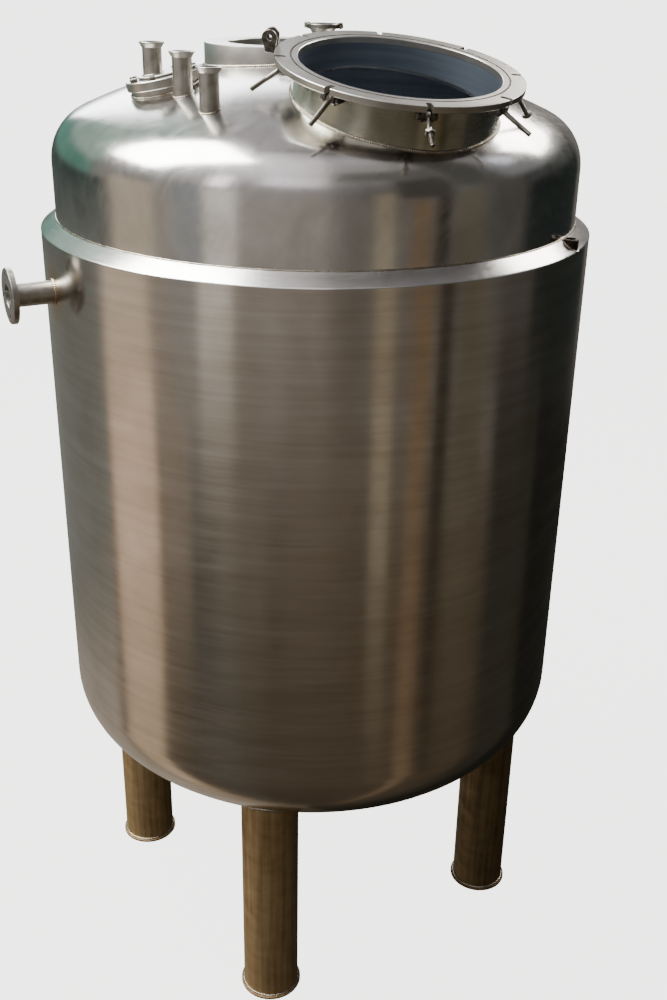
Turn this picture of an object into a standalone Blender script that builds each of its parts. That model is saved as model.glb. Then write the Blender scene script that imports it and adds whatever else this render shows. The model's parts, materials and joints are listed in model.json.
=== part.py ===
"""A jacketed stainless process tank on four pipe legs, with an open manhole and its swing bolts.

Metres, +Z up. The floor under the feet is z = 0, and the whole is centred on the Z axis by its outer box.
"""
import math

import bmesh
import bpy
from mathutils import Matrix, Vector

# Driving dimensions
JACKET_RADIUS = 0.600
JACKET_WALL = 0.004
JACKET_BOTTOM_TANGENT = 0.698
JACKET_TOP = 1.794
JACKET_CROWN = 1.200
JACKET_KNUCKLE = 0.1526
JACKET_SPACE = 0.0333

VESSEL_RADIUS = JACKET_RADIUS - JACKET_SPACE
VESSEL_WALL = 0.005
VESSEL_TOP_TANGENT = 1.9326
TOP_CROWN = 1.2255
TOP_KNUCKLE = 0.1104
CLOSURE_RISE = 0.0248
CLOSURE_FOOT = 0.0065

LEG_RADIUS = 0.0665
LEG_WALL = 0.004
LEG_CIRCLE = 0.478
LEG_TURN = math.radians(-101.3)
LEG_NAMES = ("front", "right", "back", "left")
FOOT_RADIUS = 0.073
FOOT_THICKNESS = 0.008

MANHOLE_TOP = Vector((0.1547, -0.3156, 2.1468))
MANHOLE_TILT = math.radians(11.67)
MANHOLE_TILT_TOWARDS = math.radians(-62.5)
NECK_RADIUS = 0.200
NECK_WALL = 0.006
FLANGE_RADIUS = 0.2373
FLANGE_BORE = 0.1935
FLANGE_THICKNESS = 0.012
GROOVE_RADIUS = 0.2065
GROOVE_WIDTH = 0.003
GROOVE_DEPTH = 0.0012

SLOT_NAMES = ("front", "front_right", "right", "back_right", "back", "back_left", "left", "front_left")
SLOT_TURNS = (-79.6, -36.2, 7.4, 53.4, 98.4, 143.4, -173.5, -125.2)
SLOT_WIDTH = 0.0115
SLOT_INNER_CENTRE = 0.2213
PIVOT_RADIUS = 0.222
PIVOT_DROP = 0.010
LUG_YAWS = (0.0, 5.0, 0.0, 0.0, 0.0, 0.0, 0.0, 6.0)
EAR_THICKNESS = 0.006
EAR_GAP = 0.012
EAR_DEPTH = 0.020
EAR_END = 0.009
EAR_NECK_GAP = 0.002
PIN_RADIUS = 0.0038
PIN_HEAD_RADIUS = 0.0065
PIN_HEAD_LENGTH = 0.007
EYE_RADIUS = 0.0085
EYE_BORE = 0.0042
EYE_WIDTH = 0.010
SWING_ROD_RADIUS = 0.0048
SWING_LENGTH = 0.070
SWING_CLEARANCE = 0.002
SWING_LOWEST = 88.0
SWING_DROPS = (25.5, 25.0, 66.0, 35.0, 30.0, 35.0, 38.6, 27.0)
NUT_PLACES = {"front": 0.038, "right": 0.0655}
NUT_FLATS = 0.017
NUT_THICKNESS = 0.008

HINGE_TURN = math.radians(169.0)
HINGE_RADIUS = 0.251
HINGE_RISE = 0.0145
HINGE_EYE_RADIUS = 0.0145
HINGE_ARM = 0.005
HINGE_BORE = 0.0055
HINGE_PLATE = 0.008
HINGE_GAP = 0.014

COLLAR_PLACE = (-0.0798, 0.018)
COLLAR_TOP = 2.1628
COLLAR_RADIUS = 0.1613
COLLAR_BORE = 0.110

TUBE_RADIUS = 0.01905
TUBE_WALL = 0.00165
FERRULE_RADIUS = 0.02525
FERRULE_LIP = 0.0028
FERRULE_FLARE = 0.0110
LEFT_NOZZLE = (-0.328, -0.168, 2.172)
MIDDLE_NOZZLE = (-0.260, -0.257, 2.162)
RIGHT_NOZZLE = (-0.200, -0.361, 2.144)
BACK_NOZZLE = (0.010, 0.365, 2.1735)
BACK_TUBE_RADIUS = 0.0254
BACK_FERRULE_RADIUS = 0.032
CAP_THICKNESS = 0.006
CLAMP_RADIUS = 0.038
CLAMP_HEIGHT = 0.011

SEAT_PLACE = (-0.302, -0.168)
SEAT_TILT = math.radians(12.3)
SEAT_TILT_TOWARDS = math.radians(-170.8)
SEAT_RADIUS = 0.078
SEAT_THICKNESS = 0.018
SEAT_RISE = 0.0213
SEAT_NECK_RADIUS = 0.070
SEAT_BORE = 0.045
COVER_RADIUS = 0.052
COVER_THICKNESS = 0.0035
GASKET_RADIUS = 0.0505
GASKET_THICKNESS = 0.0012

SIDE_NOZZLE_TURN = math.radians(-154.8)
SIDE_NOZZLE_HEIGHT = 1.6905
SIDE_NOZZLE_REACH = 0.0927
SIDE_PIPE_RADIUS = 0.02415
SIDE_PIPE_WALL = 0.003
SIDE_PIPE_STEP = 0.002
SIDE_FLANGE_RADIUS = 0.0575
SIDE_FLANGE_THICKNESS = 0.012
SIDE_BOLT_CIRCLE = 0.0425
SIDE_BOLT_HOLE = 0.006
SIDE_BOLT_TURN = math.radians(11.0)

SOCKET_TURN = math.radians(-28.0)
SOCKET_RADIUS = 0.0165
SOCKET_BORE = 0.0105
SOCKET_TOP = 1.8195
SOCKET_CIRCLE = 0.583

OUTLET_RADIUS = 0.0254
OUTLET_WALL = 0.0016
OUTLET_END = 0.345

GAP = 0.0003
DEEP = 0.25
OUTLET_SPAN = (0.30, 0.80)
ROOF_SPAN = (1.95, 2.30)
SOCKET_SPAN = (1.70, 1.90)
SIDE_SPAN = (0.55, 0.65)

ROUND_STEPS = 48
SMALL_ROUND_STEPS = 24
SEAT_STEPS = 36
SIDE_FLANGE_STEPS = 40
EYE_STEPS = 14
HOLE_STEPS = 12
ROD_STEPS = 10
PIN_STEPS = 8
CROWN_STEPS = 5
KNUCKLE_STEPS = 4


# The side flange reaches further out than the jacket, so the tank's axis stands off the box's centre.
SIDE_REACH = ((JACKET_RADIUS + SIDE_NOZZLE_REACH) * abs(math.cos(SIDE_NOZZLE_TURN))
              + SIDE_FLANGE_RADIUS * abs(math.sin(SIDE_NOZZLE_TURN)))
TANK_AXIS = Matrix.Translation(((SIDE_REACH - JACKET_RADIUS) / 2, 0.0, 0.0))


def clear_scene():
    for item in list(bpy.data.objects):
        bpy.data.objects.remove(item, do_unlink=True)


def material(name, colour, roughness, metallic=1.0):
    made = bpy.data.materials.new(name)
    made.use_nodes = True
    shader = made.node_tree.nodes["Principled BSDF"]
    shader.inputs["Base Color"].default_value = (*colour, 1.0)
    shader.inputs["Roughness"].default_value = roughness
    shader.inputs["Metallic"].default_value = metallic
    made.diffuse_color = (*colour, 1.0)
    return made


def brushed_steel(name):
    return material(name, (0.56, 0.54, 0.51), 0.30)


def add_object(name, mesh_data, place, finish):
    mesh = bpy.data.meshes.new(name)
    bmesh.ops.recalc_face_normals(mesh_data, faces=mesh_data.faces)
    mesh_data.to_mesh(mesh)
    mesh_data.free()
    made = bpy.data.objects.new(name, mesh)
    bpy.context.scene.collection.objects.link(made)
    made.matrix_world = TANK_AXIS @ place
    mesh.shade_smooth()
    mesh.set_sharp_from_angle(angle=math.radians(35))
    if finish is None:
        made.hide_render = True
        made.display_type = "WIRE"
    else:
        mesh.materials.append(finish)
    return made


def turned_mesh(profile, steps):
    """Turn a profile of (radius, height) points about Z; ends on the axis close to a point."""
    mesh_data = bmesh.new()
    rings = []
    for radius, height in profile:
        if radius < 1e-6:
            rings.append([mesh_data.verts.new((0.0, 0.0, height))])
            continue
        ring = []
        for step in range(steps):
            angle = 2.0 * math.pi * step / steps
            ring.append(mesh_data.verts.new((radius * math.cos(angle), radius * math.sin(angle), height)))
        rings.append(ring)
    pairs = list(zip(rings, rings[1:]))
    if len(rings[0]) > 1 and len(rings[-1]) > 1:
        pairs.append((rings[-1], rings[0]))
    for lower, upper in pairs:
        for step in range(steps):
            after = (step + 1) % steps
            if len(lower) == 1:
                mesh_data.faces.new((lower[0], upper[step], upper[after]))
            elif len(upper) == 1:
                mesh_data.faces.new((lower[step], lower[after], upper[0]))
            else:
                mesh_data.faces.new((lower[step], lower[after], upper[after], upper[step]))
    return mesh_data


def turned(name, profile, finish, place=Matrix(), steps=ROUND_STEPS):
    return add_object(name, turned_mesh(profile, steps), place, finish)


def ring_profile(outer, inner, low, high):
    return [(outer, low), (outer, high), (inner, high), (inner, low)]


def rod_profile(radius, low, high):
    return [(0.0, low), (radius, low), (radius, high), (0.0, high)]


def prism(name, outlines, depth, finish, place=Matrix()):
    """Extrude flat outlines in the local XY plane, half of the depth to each side of it."""
    mesh_data = bmesh.new()
    for outline in outlines:
        low = [mesh_data.verts.new((x, y, -depth / 2)) for x, y in outline]
        high = [mesh_data.verts.new((x, y, depth / 2)) for x, y in outline]
        mesh_data.faces.new(low)
        mesh_data.faces.new(high)
        for index in range(len(outline)):
            after = (index + 1) % len(outline)
            mesh_data.faces.new((low[index], low[after], high[after], high[index]))
    return add_object(name, mesh_data, place, finish)


def combine(target, other, operation):
    change = target.modifiers.new(operation.lower(), "BOOLEAN")
    change.operation = operation
    change.solver = "EXACT"
    change.object = other
    other.hide_render = True
    other.display_type = "WIRE"


def cut(target, *cutters):
    for cutter in cutters:
        combine(target, cutter, "DIFFERENCE")


def frame_matrix(origin, along_x, along_y, along_z):
    rotation = Matrix((along_x, along_y, along_z)).transposed()
    return Matrix.Translation(origin) @ rotation.to_4x4()


def axis_matrix(origin, axis):
    """A frame whose Z runs along the axis."""
    axis = Vector(axis).normalized()
    side = Vector((0.0, 0.0, 1.0)).cross(axis)
    if side.length < 1e-6:
        side = Vector((1.0, 0.0, 0.0))
    side.normalize()
    return frame_matrix(Vector(origin), side, axis.cross(side), axis)


def direction(turn, tilt=math.pi / 2):
    return Vector((math.sin(tilt) * math.cos(turn), math.sin(tilt) * math.sin(turn), math.cos(tilt)))


# Dished heads
def crown_centre(radius, crown, knuckle):
    return math.sqrt((crown - knuckle) ** 2 - (radius - knuckle) ** 2)


def dish_profile(radius, crown, knuckle, tangent, up):
    """Points of a dished end's skin from its pole to its rim; up is 1 for a roof, -1 for a bottom."""
    centre = tangent - up * crown_centre(radius, crown, knuckle)
    join = math.asin((radius - knuckle) / (crown - knuckle))
    points = []
    for step in range(CROWN_STEPS + 1):
        angle = join * step / CROWN_STEPS
        points.append((crown * math.sin(angle), centre + up * crown * math.cos(angle)))
    for step in range(1, KNUCKLE_STEPS + 1):
        angle = join + (math.pi / 2 - join) * step / KNUCKLE_STEPS
        across = radius - knuckle + knuckle * math.sin(angle)
        points.append((across, tangent + up * knuckle * math.cos(angle)))
    return points


def dished_head(name, radius, crown, knuckle, tangent, up, wall, finish):
    outside = dish_profile(radius, crown, knuckle, tangent, up)
    inside = dish_profile(radius - wall, crown - wall, knuckle - wall, tangent, up)
    return turned(name, outside + inside[::-1], finish)


def dish_cutter(name, radius, crown, knuckle, tangent, up):
    """The space inside a head's skin, grown by the fitting gap and closed beyond its rim."""
    skin = dish_profile(radius + GAP, crown + GAP, knuckle + GAP, tangent, up)
    closed = skin + [(radius + GAP, tangent - up * DEEP), (0.0, tangent - up * DEEP)]
    return turned(name, closed, None)


def top_head_distance(point):
    """How far a point lies outside the top head's skin."""
    across = math.hypot(point.x, point.y)
    centre = VESSEL_TOP_TANGENT - crown_centre(VESSEL_RADIUS, TOP_CROWN, TOP_KNUCKLE)
    join = math.asin((VESSEL_RADIUS - TOP_KNUCKLE) / (TOP_CROWN - TOP_KNUCKLE))
    if point.z < VESSEL_TOP_TANGENT:
        return across - VESSEL_RADIUS
    if math.atan2(across, point.z - centre) < join:
        return math.hypot(across, point.z - centre) - TOP_CROWN
    return math.hypot(across - VESSEL_RADIUS + TOP_KNUCKLE, point.z - VESSEL_TOP_TANGENT) - TOP_KNUCKLE


def collar_distance(point):
    """How far a point lies outside the agitator collar."""
    across = math.hypot(point.x - COLLAR_PLACE[0], point.y - COLLAR_PLACE[1]) - COLLAR_RADIUS
    above = point.z - COLLAR_TOP
    if across < 0.0 and above < 0.0:
        return max(across, above)
    return math.hypot(max(across, 0.0), max(above, 0.0))


# Vessel and jacket
def build_vessel(cutters):
    turned("vessel_shell", ring_profile(VESSEL_RADIUS, VESSEL_RADIUS - VESSEL_WALL,
                                        JACKET_BOTTOM_TANGENT + GAP, VESSEL_TOP_TANGENT - GAP),
           brushed_steel("vessel_shell"))
    bottom = dished_head("vessel_bottom", VESSEL_RADIUS, JACKET_CROWN - JACKET_SPACE,
                         JACKET_KNUCKLE - JACKET_SPACE, JACKET_BOTTOM_TANGENT, -1, VESSEL_WALL,
                         brushed_steel("vessel_bottom"))
    outlet_bore = turned("outlet_bore", rod_profile(OUTLET_RADIUS - OUTLET_WALL, *OUTLET_SPAN), None,
                         steps=SMALL_ROUND_STEPS)
    cut(bottom, outlet_bore)
    build_top_head(cutters)


def beyond(name, seam, side):
    """The space on one side of a roof seam, with half of the fitting gap; side 1 is to the right."""
    (first_x, first_y), (last_x, last_y) = seam
    along = Vector((last_x - first_x, last_y - first_y, 0.0)).normalized()
    across = along.cross(Vector((0.0, 0.0, 1.0))) * side
    near = -GAP / 2
    far = 4.0 * VESSEL_RADIUS
    corners = [(-far, near), (far, near), (far, far), (-far, far)]
    place = frame_matrix(Vector((first_x, first_y, VESSEL_TOP_TANGENT)), along, across, along.cross(across))
    return prism(name, [corners], far, None, place)


def build_top_head(cutters):
    """Three plates: one seam runs through the small bores, and one through the collar and the manhole."""
    left_seam = (RIGHT_NOZZLE[:2], SEAT_PLACE)
    right_seam = (MANHOLE_TOP[:2], COLLAR_PLACE)
    limits = {"left": [beyond("right_of_left_seam", left_seam, 1)],
              "middle": [beyond("left_of_left_seam", left_seam, -1),
                         beyond("right_of_right_seam", right_seam, 1)],
              "right": [beyond("left_of_right_seam", right_seam, -1)]}
    for side, others in limits.items():
        name = "top_head_" + side
        plate = dished_head(name, VESSEL_RADIUS, TOP_CROWN, TOP_KNUCKLE, VESSEL_TOP_TANGENT, 1, VESSEL_WALL,
                            brushed_steel(name))
        cut(plate, *others, *cutters)


def build_jacket():
    shell = turned("jacket_shell", ring_profile(JACKET_RADIUS, JACKET_RADIUS - JACKET_WALL,
                                                JACKET_BOTTOM_TANGENT + GAP, JACKET_TOP),
                   brushed_steel("jacket_shell"))
    bore = turned("side_nozzle_bore", rod_profile(SIDE_PIPE_RADIUS - SIDE_PIPE_WALL, *SIDE_SPAN), None,
                  axis_matrix((0.0, 0.0, SIDE_NOZZLE_HEIGHT), direction(SIDE_NOZZLE_TURN)),
                  SMALL_ROUND_STEPS)
    cut(shell, bore)
    bottom = dished_head("jacket_bottom", JACKET_RADIUS, JACKET_CROWN, JACKET_KNUCKLE,
                         JACKET_BOTTOM_TANGENT, -1, JACKET_WALL, brushed_steel("jacket_bottom"))
    passage = turned("outlet_passage", rod_profile(OUTLET_RADIUS + GAP, *OUTLET_SPAN), None,
                     steps=SMALL_ROUND_STEPS)
    cut(bottom, passage)
    inner = VESSEL_RADIUS + GAP
    slope_wall = JACKET_WALL / (JACKET_SPACE / math.hypot(JACKET_SPACE, CLOSURE_RISE))
    profile = [(JACKET_RADIUS, JACKET_TOP + GAP), (inner, JACKET_TOP + CLOSURE_RISE),
               (inner, JACKET_TOP + CLOSURE_RISE - slope_wall),
               (JACKET_RADIUS - CLOSURE_FOOT, JACKET_TOP + GAP)]
    ring = turned("jacket_closure_ring", profile, brushed_steel("jacket_closure_ring"))
    place = Matrix.Translation(direction(SOCKET_TURN) * SOCKET_CIRCLE)
    cut(ring, turned("socket_passage", rod_profile(SOCKET_BORE, *SOCKET_SPAN), None, place,
                     SMALL_ROUND_STEPS))


def build_legs():
    outside = dish_cutter("jacket_outside", JACKET_RADIUS, JACKET_CROWN, JACKET_KNUCKLE,
                          JACKET_BOTTOM_TANGENT, -1)
    for index, name in enumerate(LEG_NAMES):
        place = Matrix.Translation(direction(LEG_TURN + index * math.pi / 2) * LEG_CIRCLE)
        leg = turned("leg_" + name, ring_profile(LEG_RADIUS, LEG_RADIUS - LEG_WALL,
                                                 FOOT_THICKNESS + GAP, JACKET_BOTTOM_TANGENT),
                     brushed_steel("leg_" + name), place, SMALL_ROUND_STEPS)
        cut(leg, outside)
        turned("foot_plate_" + name, rod_profile(FOOT_RADIUS, 0.0, FOOT_THICKNESS),
               brushed_steel("foot_plate_" + name), place, SMALL_ROUND_STEPS)


# Manhole
def manhole_frame():
    return axis_matrix(MANHOLE_TOP, direction(MANHOLE_TILT_TOWARDS, MANHOLE_TILT))


def slot_frame(turn, radius, height):
    """A frame on the manhole flange: X outward, Y along the rim, Z off the flange's face."""
    up = direction(MANHOLE_TILT_TOWARDS, MANHOLE_TILT)
    level = direction(turn)
    outward = (level - up * level.dot(up)).normalized()
    origin = MANHOLE_TOP + outward * radius + up * height
    return frame_matrix(origin, outward, up.cross(outward), up)


def lug_frame(index):
    """A frame on a lug's pin: X along the swing bolt's way out, Y along the pin, Z off the flange's face."""
    frame = slot_frame(math.radians(SLOT_TURNS[index]), PIVOT_RADIUS, -FLANGE_THICKNESS - PIVOT_DROP)
    return frame @ Matrix.Rotation(math.radians(LUG_YAWS[index]), 4, "Z")


def slot_outline():
    """A slot in line with its lug, open at the rim; the pin is the origin."""
    half = SLOT_WIDTH / 2
    inner = SLOT_INNER_CENTRE - PIVOT_RADIUS
    outer = FLANGE_RADIUS - PIVOT_RADIUS + half
    points = [(outer, half)]
    for step in range(7):
        angle = math.pi / 2 + math.pi * step / 6
        points.append((inner + half * math.cos(angle), half * math.sin(angle)))
    points.append((outer, -half))
    return points


def build_manhole(head_outside):
    place = manhole_frame()
    neck = turned("manhole_neck", ring_profile(NECK_RADIUS, NECK_RADIUS - NECK_WALL, -DEEP,
                                               -FLANGE_THICKNESS - GAP),
                  brushed_steel("manhole_neck"), place)
    cut(neck, head_outside)
    groove = GROOVE_WIDTH / 2
    profile = [(FLANGE_RADIUS, -FLANGE_THICKNESS), (FLANGE_RADIUS, 0.0), (GROOVE_RADIUS + groove, 0.0),
               (GROOVE_RADIUS + groove, -GROOVE_DEPTH), (GROOVE_RADIUS - groove, -GROOVE_DEPTH),
               (GROOVE_RADIUS - groove, 0.0), (FLANGE_BORE, 0.0), (FLANGE_BORE, -FLANGE_THICKNESS)]
    flange = turned("manhole_flange", profile, brushed_steel("manhole_flange"), place)
    for index, name in enumerate(SLOT_NAMES):
        place = lug_frame(index) @ Matrix.Translation((0.0, 0.0, PIVOT_DROP + FLANGE_THICKNESS / 2))
        cut(flange, prism("slot_" + name, [slot_outline()], 2 * FLANGE_THICKNESS, None, place))


def ear_outline():
    """A plate from the neck outward, round at its outer lower corner; the pin is the origin."""
    inner = NECK_RADIUS + EAR_NECK_GAP - PIVOT_RADIUS
    low = PIVOT_DROP - EAR_DEPTH
    points = [(EAR_END, PIVOT_DROP - GAP), (inner, PIVOT_DROP - GAP), (inner, low)]
    for step in range(4):
        angle = -math.pi / 2 + math.pi / 2 * step / 3
        points.append((EAR_END * math.cos(angle), -low * math.sin(angle)))
    return points


def build_lugs():
    """Each pair of ears hangs under the flange, and its headed pin carries one swing bolt."""
    for index, name in enumerate(SLOT_NAMES):
        sideways = lug_frame(index) @ Matrix.Rotation(math.pi / 2, 4, "X")
        offset = (EAR_GAP + EAR_THICKNESS) / 2
        lug = prism("lug_" + name, [ear_outline()], EAR_THICKNESS, brushed_steel("lug_" + name),
                    sideways @ Matrix.Translation((0.0, 0.0, offset)))
        other = prism("ear_" + name, [ear_outline()], EAR_THICKNESS, None,
                      sideways @ Matrix.Translation((0.0, 0.0, -offset)))
        face = EAR_GAP / 2 + EAR_THICKNESS
        end = face + PIN_HEAD_LENGTH
        profile = [(0.0, -end), (PIN_HEAD_RADIUS, -end), (PIN_HEAD_RADIUS, -face), (PIN_RADIUS, -face),
                   (PIN_RADIUS, face), (PIN_HEAD_RADIUS, face), (PIN_HEAD_RADIUS, end), (0.0, end)]
        pin = turned("pin_" + name, profile, None, sideways, PIN_STEPS)
        combine(lug, pin, "UNION")
        combine(lug, other, "UNION")


def swing_radius(name, along):
    """The swing bolt's half thickness at a distance from its pivot, with its nut."""
    if name in NUT_PLACES and abs(along - NUT_PLACES[name]) < NUT_THICKNESS:
        return NUT_FLATS / math.sqrt(3.0)
    return SWING_ROD_RADIUS


def swing_limit(name, frame):
    """The steepest drop below the flange's plane that keeps the bolt clear of the roof, in degrees."""
    drop = 0.0
    while drop < SWING_LOWEST:
        pointing = direction_in(frame, drop + 1.0)
        along = 0.02
        while along <= SWING_LENGTH + 1e-9:
            point = frame.translation + pointing * along
            room = min(top_head_distance(point), collar_distance(point))
            if room < SWING_CLEARANCE + swing_radius(name, along):
                return drop
            along += 0.002
        drop += 1.0
    return drop


def direction_in(frame, drop):
    angle = math.radians(drop)
    rotation = frame.to_3x3()
    return rotation @ Vector((math.cos(angle), 0.0, -math.sin(angle)))


def swing_pose(index, name):
    """The pivot's frame, the drop at rest and the lowest drop of one swing bolt."""
    frame = lug_frame(index)
    lowest = swing_limit(name, frame)
    return frame, min(SWING_DROPS[index], lowest), lowest


def build_swing_bolts():
    for index, name in enumerate(SLOT_NAMES):
        frame, drop, lowest = swing_pose(index, name)
        along = direction_in(frame, drop)
        hinge = -frame.col[1].to_3d()
        place = frame_matrix(frame.translation, along, hinge, along.cross(hinge))
        rod_place = place @ Matrix.Rotation(math.pi / 2, 4, "Y")
        eye_place = place @ Matrix.Rotation(-math.pi / 2, 4, "X")
        eye_profile = ring_profile(EYE_RADIUS, EYE_BORE, -EYE_WIDTH / 2, EYE_WIDTH / 2)
        bolt = turned("swing_bolt_" + name, eye_profile, brushed_steel("swing_bolt_" + name), eye_place,
                      EYE_STEPS)
        rod = turned("rod_" + name, rod_profile(SWING_ROD_RADIUS, (EYE_RADIUS + EYE_BORE) / 2, SWING_LENGTH),
                     None, rod_place, ROD_STEPS)
        combine(bolt, rod, "UNION")
        if name in NUT_PLACES:
            low = NUT_PLACES[name] - NUT_THICKNESS / 2
            nut = turned("swing_nut_" + name,
                         rod_profile(NUT_FLATS / math.sqrt(3.0), low, low + NUT_THICKNESS),
                         brushed_steel("swing_nut_" + name), rod_place, 6)
            bore = rod_profile(SWING_ROD_RADIUS + GAP, 0.0, 2 * SWING_LENGTH)
            cut(nut, turned("nut_bore_" + name, bore, None, rod_place, ROD_STEPS))
            nut.data.shade_flat()


def build_lid_hinge():
    """Two round eyes on tapering arms on the flange's rim, which carried the lid's hinge pin."""
    frame = slot_frame(HINGE_TURN, HINGE_RADIUS, HINGE_RISE)
    sideways = frame @ Matrix.Rotation(math.pi / 2, 4, "X")
    root_inner = FLANGE_RADIUS + GAP - HINGE_RADIUS
    low = -HINGE_RISE - FLANGE_THICKNESS
    outline = [(root_inner, low), (HINGE_ARM, low)]
    for step in range(13):
        angle = -math.pi / 6 + math.pi * 7 / 6 * step / 12
        outline.append((HINGE_EYE_RADIUS * math.cos(angle), HINGE_EYE_RADIUS * math.sin(angle)))
    outline.append((root_inner, -HINGE_RISE + GAP))
    for side, name in ((-1, "front"), (1, "back")):
        place = sideways @ Matrix.Translation((0.0, 0.0, -side * (HINGE_GAP + HINGE_PLATE) / 2))
        eye = prism("lid_hinge_eye_" + name, [outline], HINGE_PLATE,
                    brushed_steel("lid_hinge_eye_" + name), place)
        bore = turned("hinge_bore_" + name, rod_profile(HINGE_BORE, -HINGE_PLATE, HINGE_PLATE), None, place,
                      HOLE_STEPS)
        cut(eye, bore)


# Roof fittings
def ferrule_tube(name, place, radius, lip_radius, length, steps=SMALL_ROUND_STEPS):
    """A tube with a clamp ferrule; its top face is the place's XY plane."""
    bore = radius - TUBE_WALL
    profile = [(bore, 0.0), (lip_radius, 0.0), (lip_radius, -FERRULE_LIP), (radius, -FERRULE_FLARE),
               (radius, -length), (bore, -length)]
    return turned(name, profile[::-1], brushed_steel(name), place, steps)


def roof_point(x, y):
    """A place on the crown of the top head."""
    centre = VESSEL_TOP_TANGENT - crown_centre(VESSEL_RADIUS, TOP_CROWN, TOP_KNUCKLE)
    return Vector((x, y, centre + math.sqrt(TOP_CROWN ** 2 - x * x - y * y)))


def upright_cutter(name, x, y, radius, steps=SMALL_ROUND_STEPS):
    return turned(name, rod_profile(radius, *ROOF_SPAN), None, Matrix.Translation((x, y, 0.0)), steps)


def build_collar(head_outside):
    x, y = COLLAR_PLACE
    profile = ring_profile(COLLAR_RADIUS, COLLAR_BORE, COLLAR_TOP - DEEP, COLLAR_TOP)
    collar = turned("agitator_collar", profile, brushed_steel("agitator_collar"),
                    Matrix.Translation((x, y, 0.0)))
    cut(collar, head_outside)


def build_roof_nozzles(head_outside):
    for name, place in (("nozzle_middle", MIDDLE_NOZZLE), ("nozzle_right", RIGHT_NOZZLE)):
        tube = ferrule_tube(name, Matrix.Translation(place), TUBE_RADIUS, FERRULE_RADIUS, DEEP)
        cut(tube, head_outside)
    tube = ferrule_tube("nozzle_back", Matrix.Translation(BACK_NOZZLE), BACK_TUBE_RADIUS,
                        BACK_FERRULE_RADIUS, DEEP)
    cut(tube, head_outside)
    lid_place = Matrix.Translation(Vector(BACK_NOZZLE) + Vector((0.0, 0.0, GAP)))
    turned("nozzle_back_cap", rod_profile(BACK_FERRULE_RADIUS, 0.0, CAP_THICKNESS),
           brushed_steel("nozzle_back_cap"), lid_place, SMALL_ROUND_STEPS)
    middle = CAP_THICKNESS / 2
    profile = ring_profile(CLAMP_RADIUS, BACK_FERRULE_RADIUS + GAP, middle - CLAMP_HEIGHT / 2,
                           middle + CLAMP_HEIGHT / 2)
    turned("nozzle_back_clamp", profile, brushed_steel("nozzle_back_clamp"), lid_place, SMALL_ROUND_STEPS)


def seat_frame():
    axis = direction(SEAT_TILT_TOWARDS, SEAT_TILT)
    return axis_matrix(roof_point(*SEAT_PLACE) + axis * SEAT_RISE, axis)


def build_cover_seat(head_outside):
    """A bolted seat with its gasket and cover, which carries the left nozzle."""
    place = seat_frame()
    profile = [(SEAT_RADIUS, -SEAT_THICKNESS), (SEAT_RADIUS, 0.0), (SEAT_BORE, 0.0),
               (SEAT_BORE, -DEEP / 2), (SEAT_NECK_RADIUS, -DEEP / 2), (SEAT_NECK_RADIUS, -SEAT_THICKNESS)]
    seat = turned("cover_seat", profile, brushed_steel("cover_seat"), place, SEAT_STEPS)
    cut(seat, head_outside)
    turned("cover_gasket", ring_profile(GASKET_RADIUS, SEAT_BORE, GAP, GASKET_THICKNESS),
           material("cover_gasket", (0.03, 0.03, 0.03), 0.6, 0.0), place, SEAT_STEPS)
    low = GASKET_THICKNESS + GAP
    cover = turned("cover_plate", rod_profile(COVER_RADIUS, low, low + COVER_THICKNESS),
                   brushed_steel("cover_plate"), place, SEAT_STEPS)
    cut(cover, upright_cutter("left_nozzle_bore", *LEFT_NOZZLE[:2], TUBE_RADIUS - TUBE_WALL))
    under = turned("cover_top", rod_profile(SEAT_RADIUS, -DEEP, low + COVER_THICKNESS + GAP), None, place,
                   SEAT_STEPS)
    tube = ferrule_tube("nozzle_left", Matrix.Translation(LEFT_NOZZLE), TUBE_RADIUS, FERRULE_RADIUS,
                        DEEP / 2)
    cut(tube, under)


# Jacket fittings
def build_side_nozzle():
    face = JACKET_RADIUS + SIDE_NOZZLE_REACH
    place = axis_matrix((0.0, 0.0, SIDE_NOZZLE_HEIGHT), direction(SIDE_NOZZLE_TURN))
    bore = SIDE_PIPE_RADIUS - SIDE_PIPE_WALL
    pipe = turned("side_pipe", ring_profile(SIDE_PIPE_RADIUS, bore, SIDE_SPAN[0], face - SIDE_PIPE_STEP),
                  brushed_steel("side_pipe"), place, SMALL_ROUND_STEPS)
    outside = turned("jacket_round", rod_profile(JACKET_RADIUS + GAP, SIDE_NOZZLE_HEIGHT - DEEP,
                                                 SIDE_NOZZLE_HEIGHT + DEEP), None)
    cut(pipe, outside)
    flange = turned("side_flange", ring_profile(SIDE_FLANGE_RADIUS, SIDE_PIPE_RADIUS + GAP,
                                                face - SIDE_FLANGE_THICKNESS, face),
                    brushed_steel("side_flange"), place, SIDE_FLANGE_STEPS)
    for index in range(4):
        turn = SIDE_BOLT_TURN + index * math.pi / 2
        centre = Matrix.Rotation(turn, 4, "Z") @ Matrix.Translation((SIDE_BOLT_CIRCLE, 0.0, 0.0))
        through = rod_profile(SIDE_BOLT_HOLE, face - 2 * SIDE_FLANGE_THICKNESS, face + SIDE_FLANGE_THICKNESS)
        cut(flange, turned("side_bolt_hole_%d" % (index + 1), through, None, place @ centre, HOLE_STEPS))


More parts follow.
